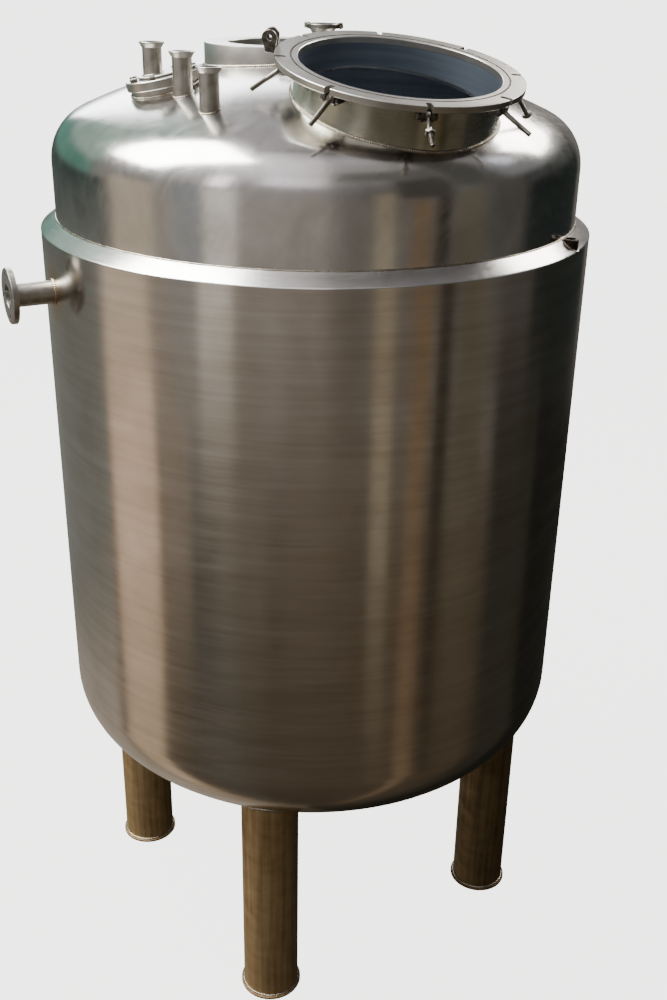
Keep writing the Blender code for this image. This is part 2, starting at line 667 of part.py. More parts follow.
def build_ring_socket():
    place = Matrix.Translation(direction(SOCKET_TURN) * SOCKET_CIRCLE)
    socket = turned("ring_socket", ring_profile(SOCKET_RADIUS, SOCKET_BORE, SOCKET_SPAN[0], SOCKET_TOP),
                    brushed_steel("ring_socket"), place, SMALL_ROUND_STEPS)
    inner = VESSEL_RADIUS + GAP
    outer = JACKET_RADIUS + GAP
    profile = [(0.0, JACKET_TOP - DEEP), (outer, JACKET_TOP - DEEP), (outer, JACKET_TOP + 2 * GAP),
               (inner, JACKET_TOP + CLOSURE_RISE + GAP), (inner, JACKET_TOP + DEEP), (0.0, JACKET_TOP + DEEP)]
    cut(socket, turned("ring_outside", profile, None))


def build_outlet():
    skin = dish_profile(VESSEL_RADIUS, JACKET_CROWN - JACKET_SPACE, JACKET_KNUCKLE - JACKET_SPACE,
                        JACKET_BOTTOM_TANGENT, -1)
    top = skin[0][1] - GAP
    place = Matrix.Translation((0.0, 0.0, OUTLET_END)) @ Matrix.Rotation(math.pi, 4, "X")
    bore = OUTLET_RADIUS - OUTLET_WALL
    profile = [(bore, 0.0), (BACK_FERRULE_RADIUS, 0.0), (BACK_FERRULE_RADIUS, -FERRULE_LIP),
               (OUTLET_RADIUS, -FERRULE_FLARE), (OUTLET_RADIUS, OUTLET_END - top), (bore, OUTLET_END - top)]
    turned("bottom_outlet", profile[::-1], brushed_steel("bottom_outlet"), place, SMALL_ROUND_STEPS)


def build_tank():
    head_outside = dish_cutter("top_head_outside", VESSEL_RADIUS, TOP_CROWN, TOP_KNUCKLE,
                               VESSEL_TOP_TANGENT, 1)
    manhole_bore = turned("manhole_bore", rod_profile(NECK_RADIUS - NECK_WALL, -DEEP, DEEP), None,
                          manhole_frame())
    seat_bore = turned("seat_bore", rod_profile(SEAT_BORE, -DEEP, DEEP), None, seat_frame(), SEAT_STEPS)
    bores = [manhole_bore, seat_bore,
             upright_cutter("collar_bore", *COLLAR_PLACE, COLLAR_BORE, ROUND_STEPS),
             upright_cutter("middle_bore", *MIDDLE_NOZZLE[:2], TUBE_RADIUS - TUBE_WALL),
             upright_cutter("right_bore", *RIGHT_NOZZLE[:2], TUBE_RADIUS - TUBE_WALL),
             upright_cutter("back_bore", *BACK_NOZZLE[:2], BACK_TUBE_RADIUS - TUBE_WALL)]
    build_vessel(bores)
    build_jacket()
    build_legs()
    build_manhole(head_outside)
    build_lugs()
    build_swing_bolts()
    build_lid_hinge()
    build_collar(head_outside)
    build_roof_nozzles(head_outside)
    build_cover_seat(head_outside)
    build_side_nozzle()
    build_ring_socket()
    build_outlet()


clear_scene()
build_tank()
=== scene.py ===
# %% [markdown]
# # A jacketed process tank, dressed in Blender
# The frame holds a plain model of a stainless steel process tank: a double-walled vessel on four pipe legs,
# with an open manhole, a ring of swing bolts and a few pipe ends on its dished roof. This lesson replaces
# its faceted pieces by finely turned ones, adds the welds, bolts and threads, and gives each its finish.

# %% Load the frame
import json
import math

import bmesh
import bpy
from mathutils import Matrix, Vector, noise


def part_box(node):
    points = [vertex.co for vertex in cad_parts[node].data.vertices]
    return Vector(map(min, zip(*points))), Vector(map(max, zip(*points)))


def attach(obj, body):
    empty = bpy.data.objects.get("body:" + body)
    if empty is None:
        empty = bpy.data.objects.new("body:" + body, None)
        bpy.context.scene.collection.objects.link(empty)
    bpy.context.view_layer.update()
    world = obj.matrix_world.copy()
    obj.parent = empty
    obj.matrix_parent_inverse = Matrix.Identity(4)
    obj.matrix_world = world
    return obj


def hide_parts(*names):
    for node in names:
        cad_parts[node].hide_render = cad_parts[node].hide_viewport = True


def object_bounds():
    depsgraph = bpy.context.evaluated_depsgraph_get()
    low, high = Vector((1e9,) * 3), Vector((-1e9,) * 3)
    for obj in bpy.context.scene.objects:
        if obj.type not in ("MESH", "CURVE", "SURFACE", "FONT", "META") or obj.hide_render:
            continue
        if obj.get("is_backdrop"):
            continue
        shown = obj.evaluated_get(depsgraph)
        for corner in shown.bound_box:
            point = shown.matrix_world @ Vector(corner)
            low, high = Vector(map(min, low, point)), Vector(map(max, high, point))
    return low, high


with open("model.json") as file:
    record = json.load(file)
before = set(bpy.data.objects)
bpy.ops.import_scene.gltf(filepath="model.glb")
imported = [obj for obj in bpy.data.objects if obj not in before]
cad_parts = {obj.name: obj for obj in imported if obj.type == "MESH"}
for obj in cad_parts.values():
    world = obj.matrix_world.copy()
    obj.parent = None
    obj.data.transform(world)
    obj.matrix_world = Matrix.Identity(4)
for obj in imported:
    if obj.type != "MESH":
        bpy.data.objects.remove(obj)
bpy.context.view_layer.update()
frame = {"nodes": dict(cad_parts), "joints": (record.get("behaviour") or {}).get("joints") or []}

# %% [markdown]
# ## The camera
# The tank is seen from a little above its roof, looking about 25 degrees down. A camera is three directions
# and a place, so they are worked out from its pitch, yaw and roll and put into one matrix.
# The lens follows from how many pixels one metre covers at one metre away.

# %% Place the camera
TANK_X = (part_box("jacket_shell")[0].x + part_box("jacket_shell")[1].x) / 2
CAMERA_PLACE = Vector((TANK_X, -2.66255, 2.34157))
PITCH = 0.4351
YAW = 0.0187
ROLL = 0.0184
FOCAL_PIXELS = 1184.08
LONG_SIDE_PIXELS = 1000
SENSOR_WIDTH = 36.0

forward = Vector((math.sin(YAW) * math.cos(PITCH), math.cos(YAW) * math.cos(PITCH), -math.sin(PITCH)))
level = Vector((math.cos(YAW), -math.sin(YAW), 0.0))
above = level.cross(forward)
right = level * math.cos(ROLL) + above * math.sin(ROLL)
upward = above * math.cos(ROLL) - level * math.sin(ROLL)
lens_data = bpy.data.cameras.new("camera")
lens_data.sensor_width = SENSOR_WIDTH
lens_data.lens = SENSOR_WIDTH * FOCAL_PIXELS / LONG_SIDE_PIXELS
lens_data.clip_end = 500.0
camera = bpy.data.objects.new("camera", lens_data)
bpy.context.scene.collection.objects.link(camera)
turn = Matrix((right, upward, -forward)).transposed().to_4x4()
camera.matrix_world = Matrix.Translation(CAMERA_PLACE) @ turn
bpy.context.scene.camera = camera
print("lens:", round(lens_data.lens, 2), "mm")

# %% [markdown]
# ## Colours and nodes
# A colour picked from a swatch is an sRGB hex value, but a shader mixes light in linear values, so one
# function turns one into the other. Another adds a shader node with its settings and links in one line.

# %% Colour and node helpers
def linear(hex_colour):
    """An sRGB hex colour as linear red, green, blue and alpha."""
    parts = [int(hex_colour[place:place + 2], 16) / 255 for place in (1, 3, 5)]
    lit = [((part + 0.055) / 1.055) ** 2.4 if part > 0.04045 else part / 12.92 for part in parts]
    return (*lit, 1.0)


def add(tree, kind, inputs=None, **settings):
    """Add a node. An input that is a socket is linked, any other value is set on the node's own socket."""
    made = tree.nodes.new("ShaderNode" + kind)
    for key, value in settings.items():
        setattr(made, key, value)
    for key, value in (inputs or {}).items():
        if isinstance(value, bpy.types.NodeSocket):
            tree.links.new(value, made.inputs[key])
        else:
            made.inputs[key].default_value = value
    return made


def fill_ramp(ramp, stops):
    """Give a colour ramp its stops, each a place from 0 to 1 and a colour."""
    elements = ramp.color_ramp.elements
    while len(elements) < len(stops):
        elements.new(0.5)
    for element, (place, colour) in zip(elements, stops):
        element.position = place
        element.color = colour
    return ramp


print("steel swatch in linear light:", [round(part, 3) for part in linear("#C9C4BA")[:3]])

# %% [markdown]
# ## The studio
# Bare steel has no colour of its own to speak of: it shows the room. So the room is a painted sphere round
# the tank. Its brightness changes with height, from a brown ground to a pale ceiling, and above the ground
# also around the tank, from a light front to a dark right side. Only rays that bounce off the steel see it.
# The camera itself looks at a plain pale backdrop.

# %% Paint the room
LEVELS = ((-1.0, "#3D362D"), (-0.50, "#453C30"), (-0.42, "#4C4539"), (-0.31, "#8C8782"), (0.20, "#8C8784"),
          (0.39, "#989698"), (0.55, "#B9B7B9"), (0.78, "#F2EEF4"), (0.96, "#F2EEF4"), (1.0, "#C0BEC0"))
AROUND = ((-180, 0.40), (-118, 0.45), (-98, 0.85), (-60, 1.0), (2, 1.0), (8, 0.62), (14, 0.45), (40, 0.45),
          (50, 0.38), (66, 0.36), (80, 0.25), (95, 0.24), (108, 0.10), (120, 0.05), (136, 0.08), (150, 0.40),
          (180, 0.40))
ROOM_LIGHT = 1.5
GROUND_LOW = -0.42
GROUND_HIGH = -0.30
PALE = "#F4F3F1"
BACKDROP_LIGHT = 4.35

world = bpy.data.worlds.new("studio")
bpy.context.scene.world = world
world.use_nodes = True
room_tree = world.node_tree
room_tree.nodes.clear()
ray = add(room_tree, "TexCoord").outputs["Generated"]
parts = add(room_tree, "SeparateXYZ", {0: ray}).outputs
rise = parts["Z"]
towards_camera = add(room_tree, "Math", {0: parts["Y"], 1: -1.0}, operation="MULTIPLY").outputs[0]
radians_round = add(room_tree, "Math", {0: parts["X"], 1: towards_camera}, operation="ARCTAN2").outputs[0]
heading = add(room_tree, "Math", {0: radians_round, 1: 180.0 / math.pi}, operation="MULTIPLY").outputs[0]
level_share = add(room_tree, "MapRange", {0: rise, 1: -1.0, 2: 1.0, 3: 0.0, 4: 1.0}).outputs[0]
levels = fill_ramp(add(room_tree, "ValToRGB", {0: level_share}),
                   [((height + 1) / 2, linear(colour)) for height, colour in LEVELS])
round_share = add(room_tree, "MapRange", {0: heading, 1: -180.0, 2: 180.0, 3: 0.0, 4: 1.0}).outputs[0]
around = fill_ramp(add(room_tree, "ValToRGB", {0: round_share}),
                   [((degrees + 180) / 360, (share, share, share, 1.0)) for degrees, share in AROUND])
over_ground = add(room_tree, "MapRange", {0: rise, 1: GROUND_LOW, 2: GROUND_HIGH, 3: 0.0, 4: 1.0}).outputs[0]
room = add(room_tree, "Mix", {"Factor": over_ground, 6: levels.outputs[0], 7: around.outputs[0]},
           data_type="RGBA", blend_type="MULTIPLY").outputs[2]
print("room:", len(LEVELS), "heights by", len(AROUND), "headings")

# %% [markdown]
# Round the tank stand doors, posts, boards and trees, which give steel its upright bands. Each is a
# soft-edged patch painted over the room: two headings and an edge in degrees, two rises, a colour and a
# light. Headings run from the camera's side towards +X. A rise is the height of a direction of length one.

# %% Paint the patches
PANELS = (
    ("yard on the left", -170, -103, 5, -1.00, -0.50, "#FFF0DE", 0.46),
    ("hedge in its shade", -170, -99, 4, -0.50, -0.20, "#FCFFF5", 0.22),
    ("darker hedge above", -170, -99, 6, -0.20, 0.00, "#DBFFF6", 0.078),
    ("leaves over the hedge", -165, -108, 7, 0.00, 0.25, "#AAFFE6", 0.31),
    ("sky over the leaves", -160, -108, 8, 0.25, 0.74, "#D8FFF1", 0.58),
    ("light at the doorway's foot", -98, -74, 4, -1.00, -0.53, "#FFE4C5", 0.68),
    ("light through the doorway", -97, -71, 4, -0.53, -0.28, "#FFE1C6", 0.94),
    ("far wall in the doorway", -94, -71, 4, -0.28, 0.12, "#FFF0DA", 0.7),
    ("doorpost", -68, -54, 4, -0.50, -0.28, "#FFECD7", 0.31),
    ("shade beside the doorpost", -56, -32, 8, -1.00, -0.46, "#FFF5DE", 0.088),
    ("blue-grey wall", -60, -48, 5, -0.26, 0.28, "#F3FAFF", 0.345),
    ("mat in front of the tank", -42, -20, 8, -0.50, -0.32, "#FFF0D8", 0.19),
    ("dark floor before the tank", -12, 18, 8, -0.50, -0.32, "#FFE8CD", 0.155),
    ("pale pillar", -47, -33, 4, -0.31, 0.20, "#FFF9F1", 1),
    ("strip light on the pillar", -47, -38, 4, 0.28, 0.58, "#FFF8FB", 3.2),
    ("pale awning in front", -24, 3, 6, 0.42, 0.66, "#FDF6FF", 1.58),
    ("sunlit board on the right", 24, 32, 3, -0.50, 0.20, "#FFEFD1", 0.37),
    ("brown board beside it", 40, 48, 4, -1.00, -0.05, "#FFDAB1", 0.215),
    ("dark post", 51, 57, 3, -0.62, 0.60, "#FFF0D3", 0.04),
    ("eaves over the boards", 33, 58, 5, 0.02, 0.56, "#FFF5E8", 0.072),
    ("dusk over the eaves", 8, 60, 7, 0.56, 0.80, "#FFFAF3", 0.15),
    ("paler dusk above", 8, 60, 7, 0.80, 0.92, "#FFFCFC", 0.37),
    ("shelf on the right", 61, 73, 4, -0.48, 0.10, "#FFF2D3", 0.135),
    ("dark beam over the shelf", 60, 85, 6, 0.25, 0.96, "#FFFEEF", 0.088),
    ("night under the trees", 82, 110, 6, -1.00, -0.30, "#FFF9DF", 0.038),
    ("deeper night beside it", 110, 175, 8, -1.00, -0.30, "#FFFFE3", 0.013),
    ("night between the trees", 99, 150, 6, -0.30, 0.06, "#E1FFF5", 0.024),
    ("treetops", 96, 150, 6, 0.06, 0.26, "#F5FFFD", 0.066),
    ("grey sky over the treetops", 88, 150, 8, 0.26, 0.62, "#F7F9FF", 0.29),
    ("bright gap in the sky", 96, 107, 4, 0.52, 0.66, "#EEEEFF", 1.75),
    ("white window at the back", -178, -159, 2, 0.12, 0.54, "#F8FAFF", 9.6))
RISE_EDGE = 0.05


def panel(room, first, last, edge, low, high, colour, light):
    """Paint one soft-edged patch over the room."""
    half = (last - first) / 2
    offset = add(room_tree, "Math", {0: heading, 1: (first + last) / 2}, operation="SUBTRACT").outputs[0]
    away = add(room_tree, "Math", {0: offset}, operation="ABSOLUTE").outputs[0]
    across = add(room_tree, "MapRange", {0: away, 1: half - edge / 2, 2: half + edge / 2, 3: 1.0, 4: 0.0},
                 interpolation_type="SMOOTHSTEP").outputs[0]
    over = add(room_tree, "MapRange", {0: rise, 1: low - RISE_EDGE, 2: low + RISE_EDGE, 3: 0.0, 4: 1.0})
    under = add(room_tree, "MapRange", {0: rise, 1: high - RISE_EDGE, 2: high + RISE_EDGE, 3: 1.0, 4: 0.0})
    upright = add(room_tree, "Math", {0: over.outputs[0], 1: under.outputs[0]},
                  operation="MULTIPLY").outputs[0]
    share = add(room_tree, "Math", {0: across, 1: upright}, operation="MULTIPLY").outputs[0]
    paint = [part * light / ROOM_LIGHT for part in linear(colour)[:3]]
    return add(room_tree, "Mix", {"Factor": share, 6: room, 7: (*paint, 1.0)}, data_type="RGBA").outputs[2]


for _, *sizes in PANELS:
    room = panel(room, *sizes)
reflected = add(room_tree, "Background", {"Color": room, "Strength": ROOM_LIGHT})
backdrop = add(room_tree, "Background", {"Color": linear(PALE), "Strength": BACKDROP_LIGHT})
seen = add(room_tree, "LightPath").outputs["Is Camera Ray"]
both = add(room_tree, "MixShader", {0: seen, 1: reflected.outputs[0], 2: backdrop.outputs[0]})
add(room_tree, "OutputWorld", {"Surface": both.outputs[0]})
print("patches:", len(PANELS))

# %% [markdown]
# Two windows are so bright that they burn out on the roof: a skylight on the left, and a smaller window at
# the back on the right. They are area lights, which the renderer aims at and so keeps free of noise. A
# light's power is its brightness times its area times pi.

# %% Hang the windows
ROOF_MIDDLE = Vector((0.0, 0.0, 2.0))


def window(name, offset, facing, sizes, colour, brightness):
    """A light at an offset from the roof's middle, turned so that it shines along a direction."""
    data = bpy.data.lights.new(name, "AREA")
    data.shape = "RECTANGLE"
    data.size, data.size_y = sizes
    data.color = linear(colour)[:3]
    data.energy = brightness * sizes[0] * sizes[1] * math.pi
    made = bpy.data.objects.new(name, data)
    bpy.context.scene.collection.objects.link(made)
    made.location = ROOF_MIDDLE + Vector(offset)
    made.rotation_euler = Vector(facing).to_track_quat("-Z", "Y").to_euler()
    made.visible_camera = False
    print(name, "burns", round(data.energy), "W")


window("skylight", (-2.92, -0.22, 2.6), (0.0, 0.0, -1.0), (3.84, 2.30), "#FFFFFF", 24.0)
window("back_right_window", (2.41, 2.36, 2.15), (-0.602, -0.591, -0.537), (2.8, 1.45), "#FFFBF6", 15.0)

# %% [markdown]
# The floor is wide and pale, and it glows by itself just enough to match the backdrop. The steel doesn't
# mirror it, because the room's painted ground is already there.

# %% Lay the floor
FLOOR_RADIUS = 200.0
FLOOR_CORNERS = 32
FLOOR_GLOW = 4.05


def circle(radius, steps):
    """The x and y of points round a circle."""
    angles = [2 * math.pi * step / steps for step in range(steps)]
    return [(radius * math.cos(angle), radius * math.sin(angle)) for angle in angles]


floor_mesh = bpy.data.meshes.new("floor")
corners = [(x, y, 0.0) for x, y in circle(FLOOR_RADIUS, FLOOR_CORNERS)]
floor_mesh.from_pydata(corners, [], [tuple(range(FLOOR_CORNERS))])
floor = bpy.data.objects.new("floor", floor_mesh)
bpy.context.scene.collection.objects.link(floor)
floor.visible_glossy = False
floor.visible_shadow = False
painted = bpy.data.materials.new("pale_painted_floor")
painted.use_nodes = True
floor_tree = painted.node_tree
floor_tree.nodes.clear()
glow = add(floor_tree, "Emission", {"Color": linear(PALE), "Strength": FLOOR_GLOW})
matt = add(floor_tree, "BsdfDiffuse", {"Color": linear("#4A4A49")})
mixed = add(floor_tree, "AddShader", {0: glow.outputs[0], 1: matt.outputs[0]})
add(floor_tree, "OutputMaterial", {"Surface": mixed.outputs[0]})
floor_mesh.materials.append(painted)
floor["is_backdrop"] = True
print("floor:", FLOOR_RADIUS, "m in radius")

# %% [markdown]
# ## Steel finishes
# The tank is grade 304 stainless sheet and pipe, and each piece has the finish of the tool that made it. All
# are bare metals, so they keep the default IOR and differ in roughness, in grain and in the film that lies on
# them. Real belt grit leaves lines 0.2 mm apart. That is too fine for a picture in which one pixel covers
# 2 mm, so the jacket's lines are drawn about 2 mm apart, and fainter.

# %% Helpers for metal and its patterns
def metal(name, roughness, anisotropy=0.0):
    """Bare metal. Anisotropy draws its highlights out across brushing that runs around Z."""
    made = bpy.data.materials.new(name)
    made.use_nodes = True
    tree = made.node_tree
    shader = tree.nodes["Principled BSDF"]
    shader.inputs["Metallic"].default_value = 1.0
    shader.inputs["Roughness"].default_value = roughness
    shader.inputs["Anisotropic"].default_value = anisotropy
    if anisotropy:
        shader.inputs["Anisotropic Rotation"].default_value = 0.25
        tangent = add(tree, "Tangent", direction_type="RADIAL", axis="Z").outputs[0]
        tree.links.new(tangent, shader.inputs["Tangent"])
    return made, tree, shader


def lines(tree, thin, long, axis="z", seed=0.0, lean=0.0):
    """Noise stretched into lines. Thin and long are their sizes in metres, axis is the thin direction."""
    place = add(tree, "TexCoord").outputs["Object"]
    scales = {"x": (1 / thin, 1 / long, 1 / long), "xy": (1 / thin, 1 / thin, 1 / long),
              "z": (1 / long, 1 / long, 1 / thin)}
    leaning = add(tree, "Mapping", {"Vector": place, "Rotation": (lean, lean, 0.0)}).outputs[0]
    moved = add(tree, "Mapping", {"Vector": leaning, "Location": (seed, seed, seed), "Scale": scales[axis]})
    return add(tree, "TexNoise", {"Vector": moved.outputs[0], "Scale": 1.0, "Detail": 3.0}).outputs["Fac"]


def blots(tree, size, seed=0.0, detail=4.0, wander=0.4):
    """Soft blotches of a size in metres, such as hand marks and wiped stains."""
    place = add(tree, "TexCoord").outputs["Object"]
    moved = add(tree, "Mapping", {"Vector": place, "Location": (seed, seed, seed)})
    return add(tree, "TexNoise", {"Vector": moved.outputs[0], "Scale": 1 / size, "Detail": detail,
                                  "Distortion": wander}).outputs["Fac"]


def lathe_rings(tree, pitch):
    """Fine rings round the object's own Z axis, as a turning tool leaves them."""
    place = add(tree, "TexCoord").outputs["Object"]
    flat = add(tree, "VectorMath", {0: place, 1: (1.0, 1.0, 0.0)}, operation="MULTIPLY").outputs[0]
    out = add(tree, "VectorMath", {0: flat}, operation="LENGTH").outputs["Value"]
    return add(tree, "TexNoise", {"W": out, "Scale": 1 / pitch, "Detail": 2.0, "Roughness": 0.6},
               noise_dimensions="1D").outputs["Fac"]


print("patterns: lines, blots and lathe rings")

# %% [markdown]
# A noise stays mostly between 0.3 and 0.7. It is spread over the range that a film or a roughness needs, and
# a bump lifts the surface with it, by 0.01 to 1 mm. A heat mark fades with the distance from a spot.

# %% Helpers for film, heat and relief
def vary(tree, *layers, start=0.3, stop=0.7, clamp=False):
    """A value that varies over the surface: noises added up, each spread over its own range."""
    total = None
    for height, low, high in layers:
        share = add(tree, "MapRange", {0: height, 1: start, 2: stop, 3: low, 4: high}).outputs[0]
        if total is not None:
            share = add(tree, "Math", {0: total, 1: share}, operation="ADD", use_clamp=clamp).outputs[0]
        total = share
    return total


def film(tree, below, colour, amount):
    """Lay a colour over another, a hex colour or a socket, by an amount."""
    base = linear(below) if isinstance(below, str) else below
    return add(tree, "Mix", {"Factor": amount, 6: base, 7: linear(colour)}, data_type="RGBA").outputs[2]


def near(tree, spot, inner, outer, amount=1.0):
    """How close a point of the surface is to a spot in the object's own metres, from the amount down to 0."""
    place = add(tree, "TexCoord").outputs["Object"]
    away = add(tree, "VectorMath", {0: place, 1: spot}, operation="DISTANCE").outputs["Value"]
    return add(tree, "MapRange", {0: away, 1: inner, 2: outer, 3: amount, 4: 0.0},
               interpolation_type="SMOOTHSTEP").outputs[0]


def relief(tree, shader, *layers):
    """Bump the surface with heights, each with its depth in metres."""
    normal = None
    for height, depth in layers:
        inputs = {"Strength": 1.0, "Distance": depth, "Height": height}
        if normal is not None:
            inputs["Normal"] = normal
        normal = add(tree, "Bump", inputs).outputs[0]
    tree.links.new(normal, shader.inputs["Normal"])


def finish(tree, shader, colour, roughness):
    """Link a colour and a roughness to the shader."""
    tree.links.new(colour, shader.inputs["Base Color"])
    tree.links.new(roughness, shader.inputs["Roughness"])


print("helpers: vary, film, near, relief and finish")

# %% [markdown]
# The jacket is sheet rolled to a cylinder and brushed around with a belt. The lines run level, so a
# highlight is drawn out upwards and downwards into a tall band. Cloth wipes leave slanting smears, and a thin
# brown film of dust and finger grease dulls it in patches.

# %% Brushed jacket sheet
SIDE_WELD = (-0.543, -0.256, 1.6905)


def brushed_jacket():
    """304 sheet, belt-brushed around: level lines, tall soft bands, slanting wipe marks and a warm film."""
    made, tree, shader = metal("brushed_304_jacket", 0.2, 0.72)
    belt = lines(tree, 0.0022, 0.16)
    passes = lines(tree, 0.016, 0.55, seed=3.1)
    wipes = lines(tree, 0.030, 0.20, seed=7.7, lean=0.10)
    blot = blots(tree, 0.13, 1.7)
    cover = vary(tree, (blot, 0.0, 0.55), (passes, 0.0, 0.35), clamp=True)
    heat = near(tree, SIDE_WELD, 0.030, 0.085, 0.75)
    colour = film(tree, film(tree, "#D3CEC6", "#B4AA9D", cover), "#C8A874", heat)
    rough = vary(tree, (belt, 0.13, 0.17), (wipes, 0.0, 0.04), (blot, -0.01, 0.04))
    finish(tree, shader, colour, rough)
    relief(tree, shader, (blots(tree, 0.30, 5.0, 1.0), 0.0010), (passes, 0.00007), (belt, 0.00002))
    return made


JACKET_STEEL = brushed_jacket()
print("jacket:", JACKET_STEEL.name)

# %% [markdown]
# The roof was pressed and then buffed with a mop, which leaves a closer shine with swirls and slight waves in
# it. The shoulder ring was ground with a disc after welding, which left it paler and more even.

# %% Buffed roof and ground ring
def buffed_roof():
    """304 pressing, mop-buffed: a close shine with curved mop marks, a few smears and gentle waves."""
    made, tree, shader = metal("buffed_304_roof", 0.2, 0.45)
    mop = lines(tree, 0.006, 0.10, seed=2.2, lean=0.8)
    swirl = blots(tree, 0.05, 4.4, 5.0, 1.6)
    blot = blots(tree, 0.11, 9.1)
    finish(tree, shader, film(tree, "#D8D6D1", "#B1ACA4", vary(tree, (blot, 0.0, 0.7))),
           vary(tree, (mop, 0.13, 0.17), (swirl, 0.0, 0.06)))
    relief(tree, shader, (blots(tree, 0.22, 6.0, 1.0), 0.0009), (swirl, 0.00010), (mop, 0.00002))
    return made


def ground_ring():
    """304 ring, disc-ground: paler than the sheet, with fine strokes around it and dull spots."""
    made, tree, shader = metal("ground_304_ring", 0.26, 0.3)
    strokes = lines(tree, 0.0025, 0.060, seed=1.3)
    blot = blots(tree, 0.09, 2.9)
    finish(tree, shader, film(tree, "#DCDAD5", "#BFBAB2", vary(tree, (blot, 0.0, 0.5))),
           vary(tree, (strokes, 0.20, 0.25)))
    relief(tree, shader, (blot, 0.0002))
    return made


ROOF_STEEL = buffed_roof()
RING_STEEL = ground_ring()
print("roof and ring:", ROOF_STEEL.name, RING_STEEL.name)

# %% [markdown]
# Flange and collar faces come off a lathe: fine rings, which a noise of the distance from the axis draws. The
# manhole's neck is rolled strip that was brushed by hand and is browned in patches.

# %% Turned faces and the neck
def turned_face():
    """304 plate turned on a lathe: fine rings, an even satin and a grey film in patches."""
    made, tree, shader = metal("turned_304_face", 0.28)
    ring_marks = lathe_rings(tree, 0.0016)
    blot = blots(tree, 0.05, 3.3)
    finish(tree, shader, film(tree, "#BCB9B2", "#948E84", vary(tree, (blot, 0.0, 0.6))),
           vary(tree, (ring_marks, 0.30, 0.40)))
    relief(tree, shader, (ring_marks, 0.00002), (blot, 0.0001))
    return made


def brushed_neck():
    """304 strip, hand-brushed: level lines, browned in patches."""
    made, tree, shader = metal("hand_brushed_304_neck", 0.24, 0.6)
    belt = lines(tree, 0.0016, 0.07)
    blot = blots(tree, 0.06, 8.2)
    brown = vary(tree, (blot, 0.1, 0.8), (belt, 0.0, 0.2), clamp=True)
    finish(tree, shader, film(tree, "#CDCFC5", "#94927F", brown), vary(tree, (belt, 0.18, 0.28)))
    relief(tree, shader, (blots(tree, 0.09, 5.1, 1.0), 0.0007), (belt, 0.00004))
    return made


FACE_STEEL = turned_face()
NECK_STEEL = brushed_neck()
print("flange and neck:", FACE_STEEL.name, NECK_STEEL.name)

# %% [markdown]
# Pipes come satin from the mill. The legs were only pickled in acid, so they are the dullest metal here: a
# brown-grey skin with runs down its length and dirt near the floor. The right and the back leg get a darker
# copy of that skin: painted shade.

# %% Pipes and legs
def satin_pipe():
    """304 pipe as drawn at the mill: a smooth satin with faint length marks."""
    made, tree, shader = metal("satin_304_pipe", 0.36)
    drawn = lines(tree, 0.0012, 0.05, "xy", 2.0)
    blot = blots(tree, 0.02, 6.1)
    finish(tree, shader, film(tree, "#B2AFA8", "#8A867D", vary(tree, (blot, 0.0, 0.8))),
           vary(tree, (drawn, 0.32, 0.42)))
    relief(tree, shader, (drawn, 0.00001))
    return made


def pickled_leg(name, skin_colour, dirt_colour):
    """304 pipe, acid-pickled: a dull brown-grey skin with runs down it and dirt near the floor."""
    made, tree, shader = metal(name, 0.6)
    runs = lines(tree, 0.010, 0.30, "xy", 4.0)
    blot = blots(tree, 0.05, 2.4)
    skin = vary(tree, (runs, 0.0, 0.6), (blot, 0.0, 0.5), clamp=True)
    dirt = vary(tree, (blot, 0.52, 0.64), (runs, 0.0, 0.06))
    finish(tree, shader, film(tree, skin_colour, dirt_colour, skin), dirt)
    relief(tree, shader, (blots(tree, 0.012, 1.0), 0.00008), (runs, 0.00010))
    return made


PIPE_STEEL = satin_pipe()
LEG_STEEL = pickled_leg("pickled_304_leg", "#BBA680", "#8C754F")
# A darker copy of the leg steel for the right and the back leg: painted shade.
SHADED_LEG_STEEL = pickled_leg("shaded_304_leg", "#7D6E52", "#554731")
print("pipes and legs:", PIPE_STEEL.name, LEG_STEEL.name, SHADED_LEG_STEEL.name)

# %% [markdown]
# A weld bead shows where the arc heated it: straw, brown and blue films lie over bright metal. The swing
# bolts are bright bar, their ears are plate as it was rolled, and the ring's socket and the clamp's nut are
# old carbon steel, darker still.

# %% Welds, bars, plates and nuts
def tinted_weld():
    """Stainless weld metal, wire-brushed: bright ripples with straw, brown and blue heat films."""
    made, tree, shader = metal("brushed_304_weld", 0.27)
    blot = blots(tree, 0.012, 3.7)
    tint = film(tree, film(tree, "#B0AAA0", "#86744F", vary(tree, (blot, 0.0, 0.8))), "#62646F",
                vary(tree, (blots(tree, 0.03, 5.5), 0.0, 0.6), start=0.5, stop=0.75))
    finish(tree, shader, tint, vary(tree, (blot, 0.22, 0.36)))
    relief(tree, shader, (blots(tree, 0.0025, 7.0, 2.0), 0.00012))
    return made


def bright_bar():
    """Ground round bar: bright flanks with lathe rings and brown grease in patches."""
    made, tree, shader = metal("bright_304_bar", 0.28)
    rings_on_bar = lines(tree, 0.0008, 0.02)
    blot = blots(tree, 0.009, 2.5)
    finish(tree, shader, film(tree, "#9D9990", "#5A5448", vary(tree, (blot, 0.1, 0.8))),
           vary(tree, (rings_on_bar, 0.32, 0.44)))
    relief(tree, shader, (rings_on_bar, 0.00003))
    return made


def rolled_plate():
    """304 plate as rolled and sawn: a dull grey skin, scratched, with dark blotches."""
    made, tree, shader = metal("as_rolled_304_plate", 0.38)
    scratches = lines(tree, 0.0010, 0.015, "x", 1.9)
    blot = blots(tree, 0.010, 4.8)
    finish(tree, shader, film(tree, "#7C7871", "#3B3831", vary(tree, (blot, 0.1, 0.9))),
           vary(tree, (scratches, 0.32, 0.46)))
    relief(tree, shader, (scratches, 0.00004), (blot, 0.00015))
    return made


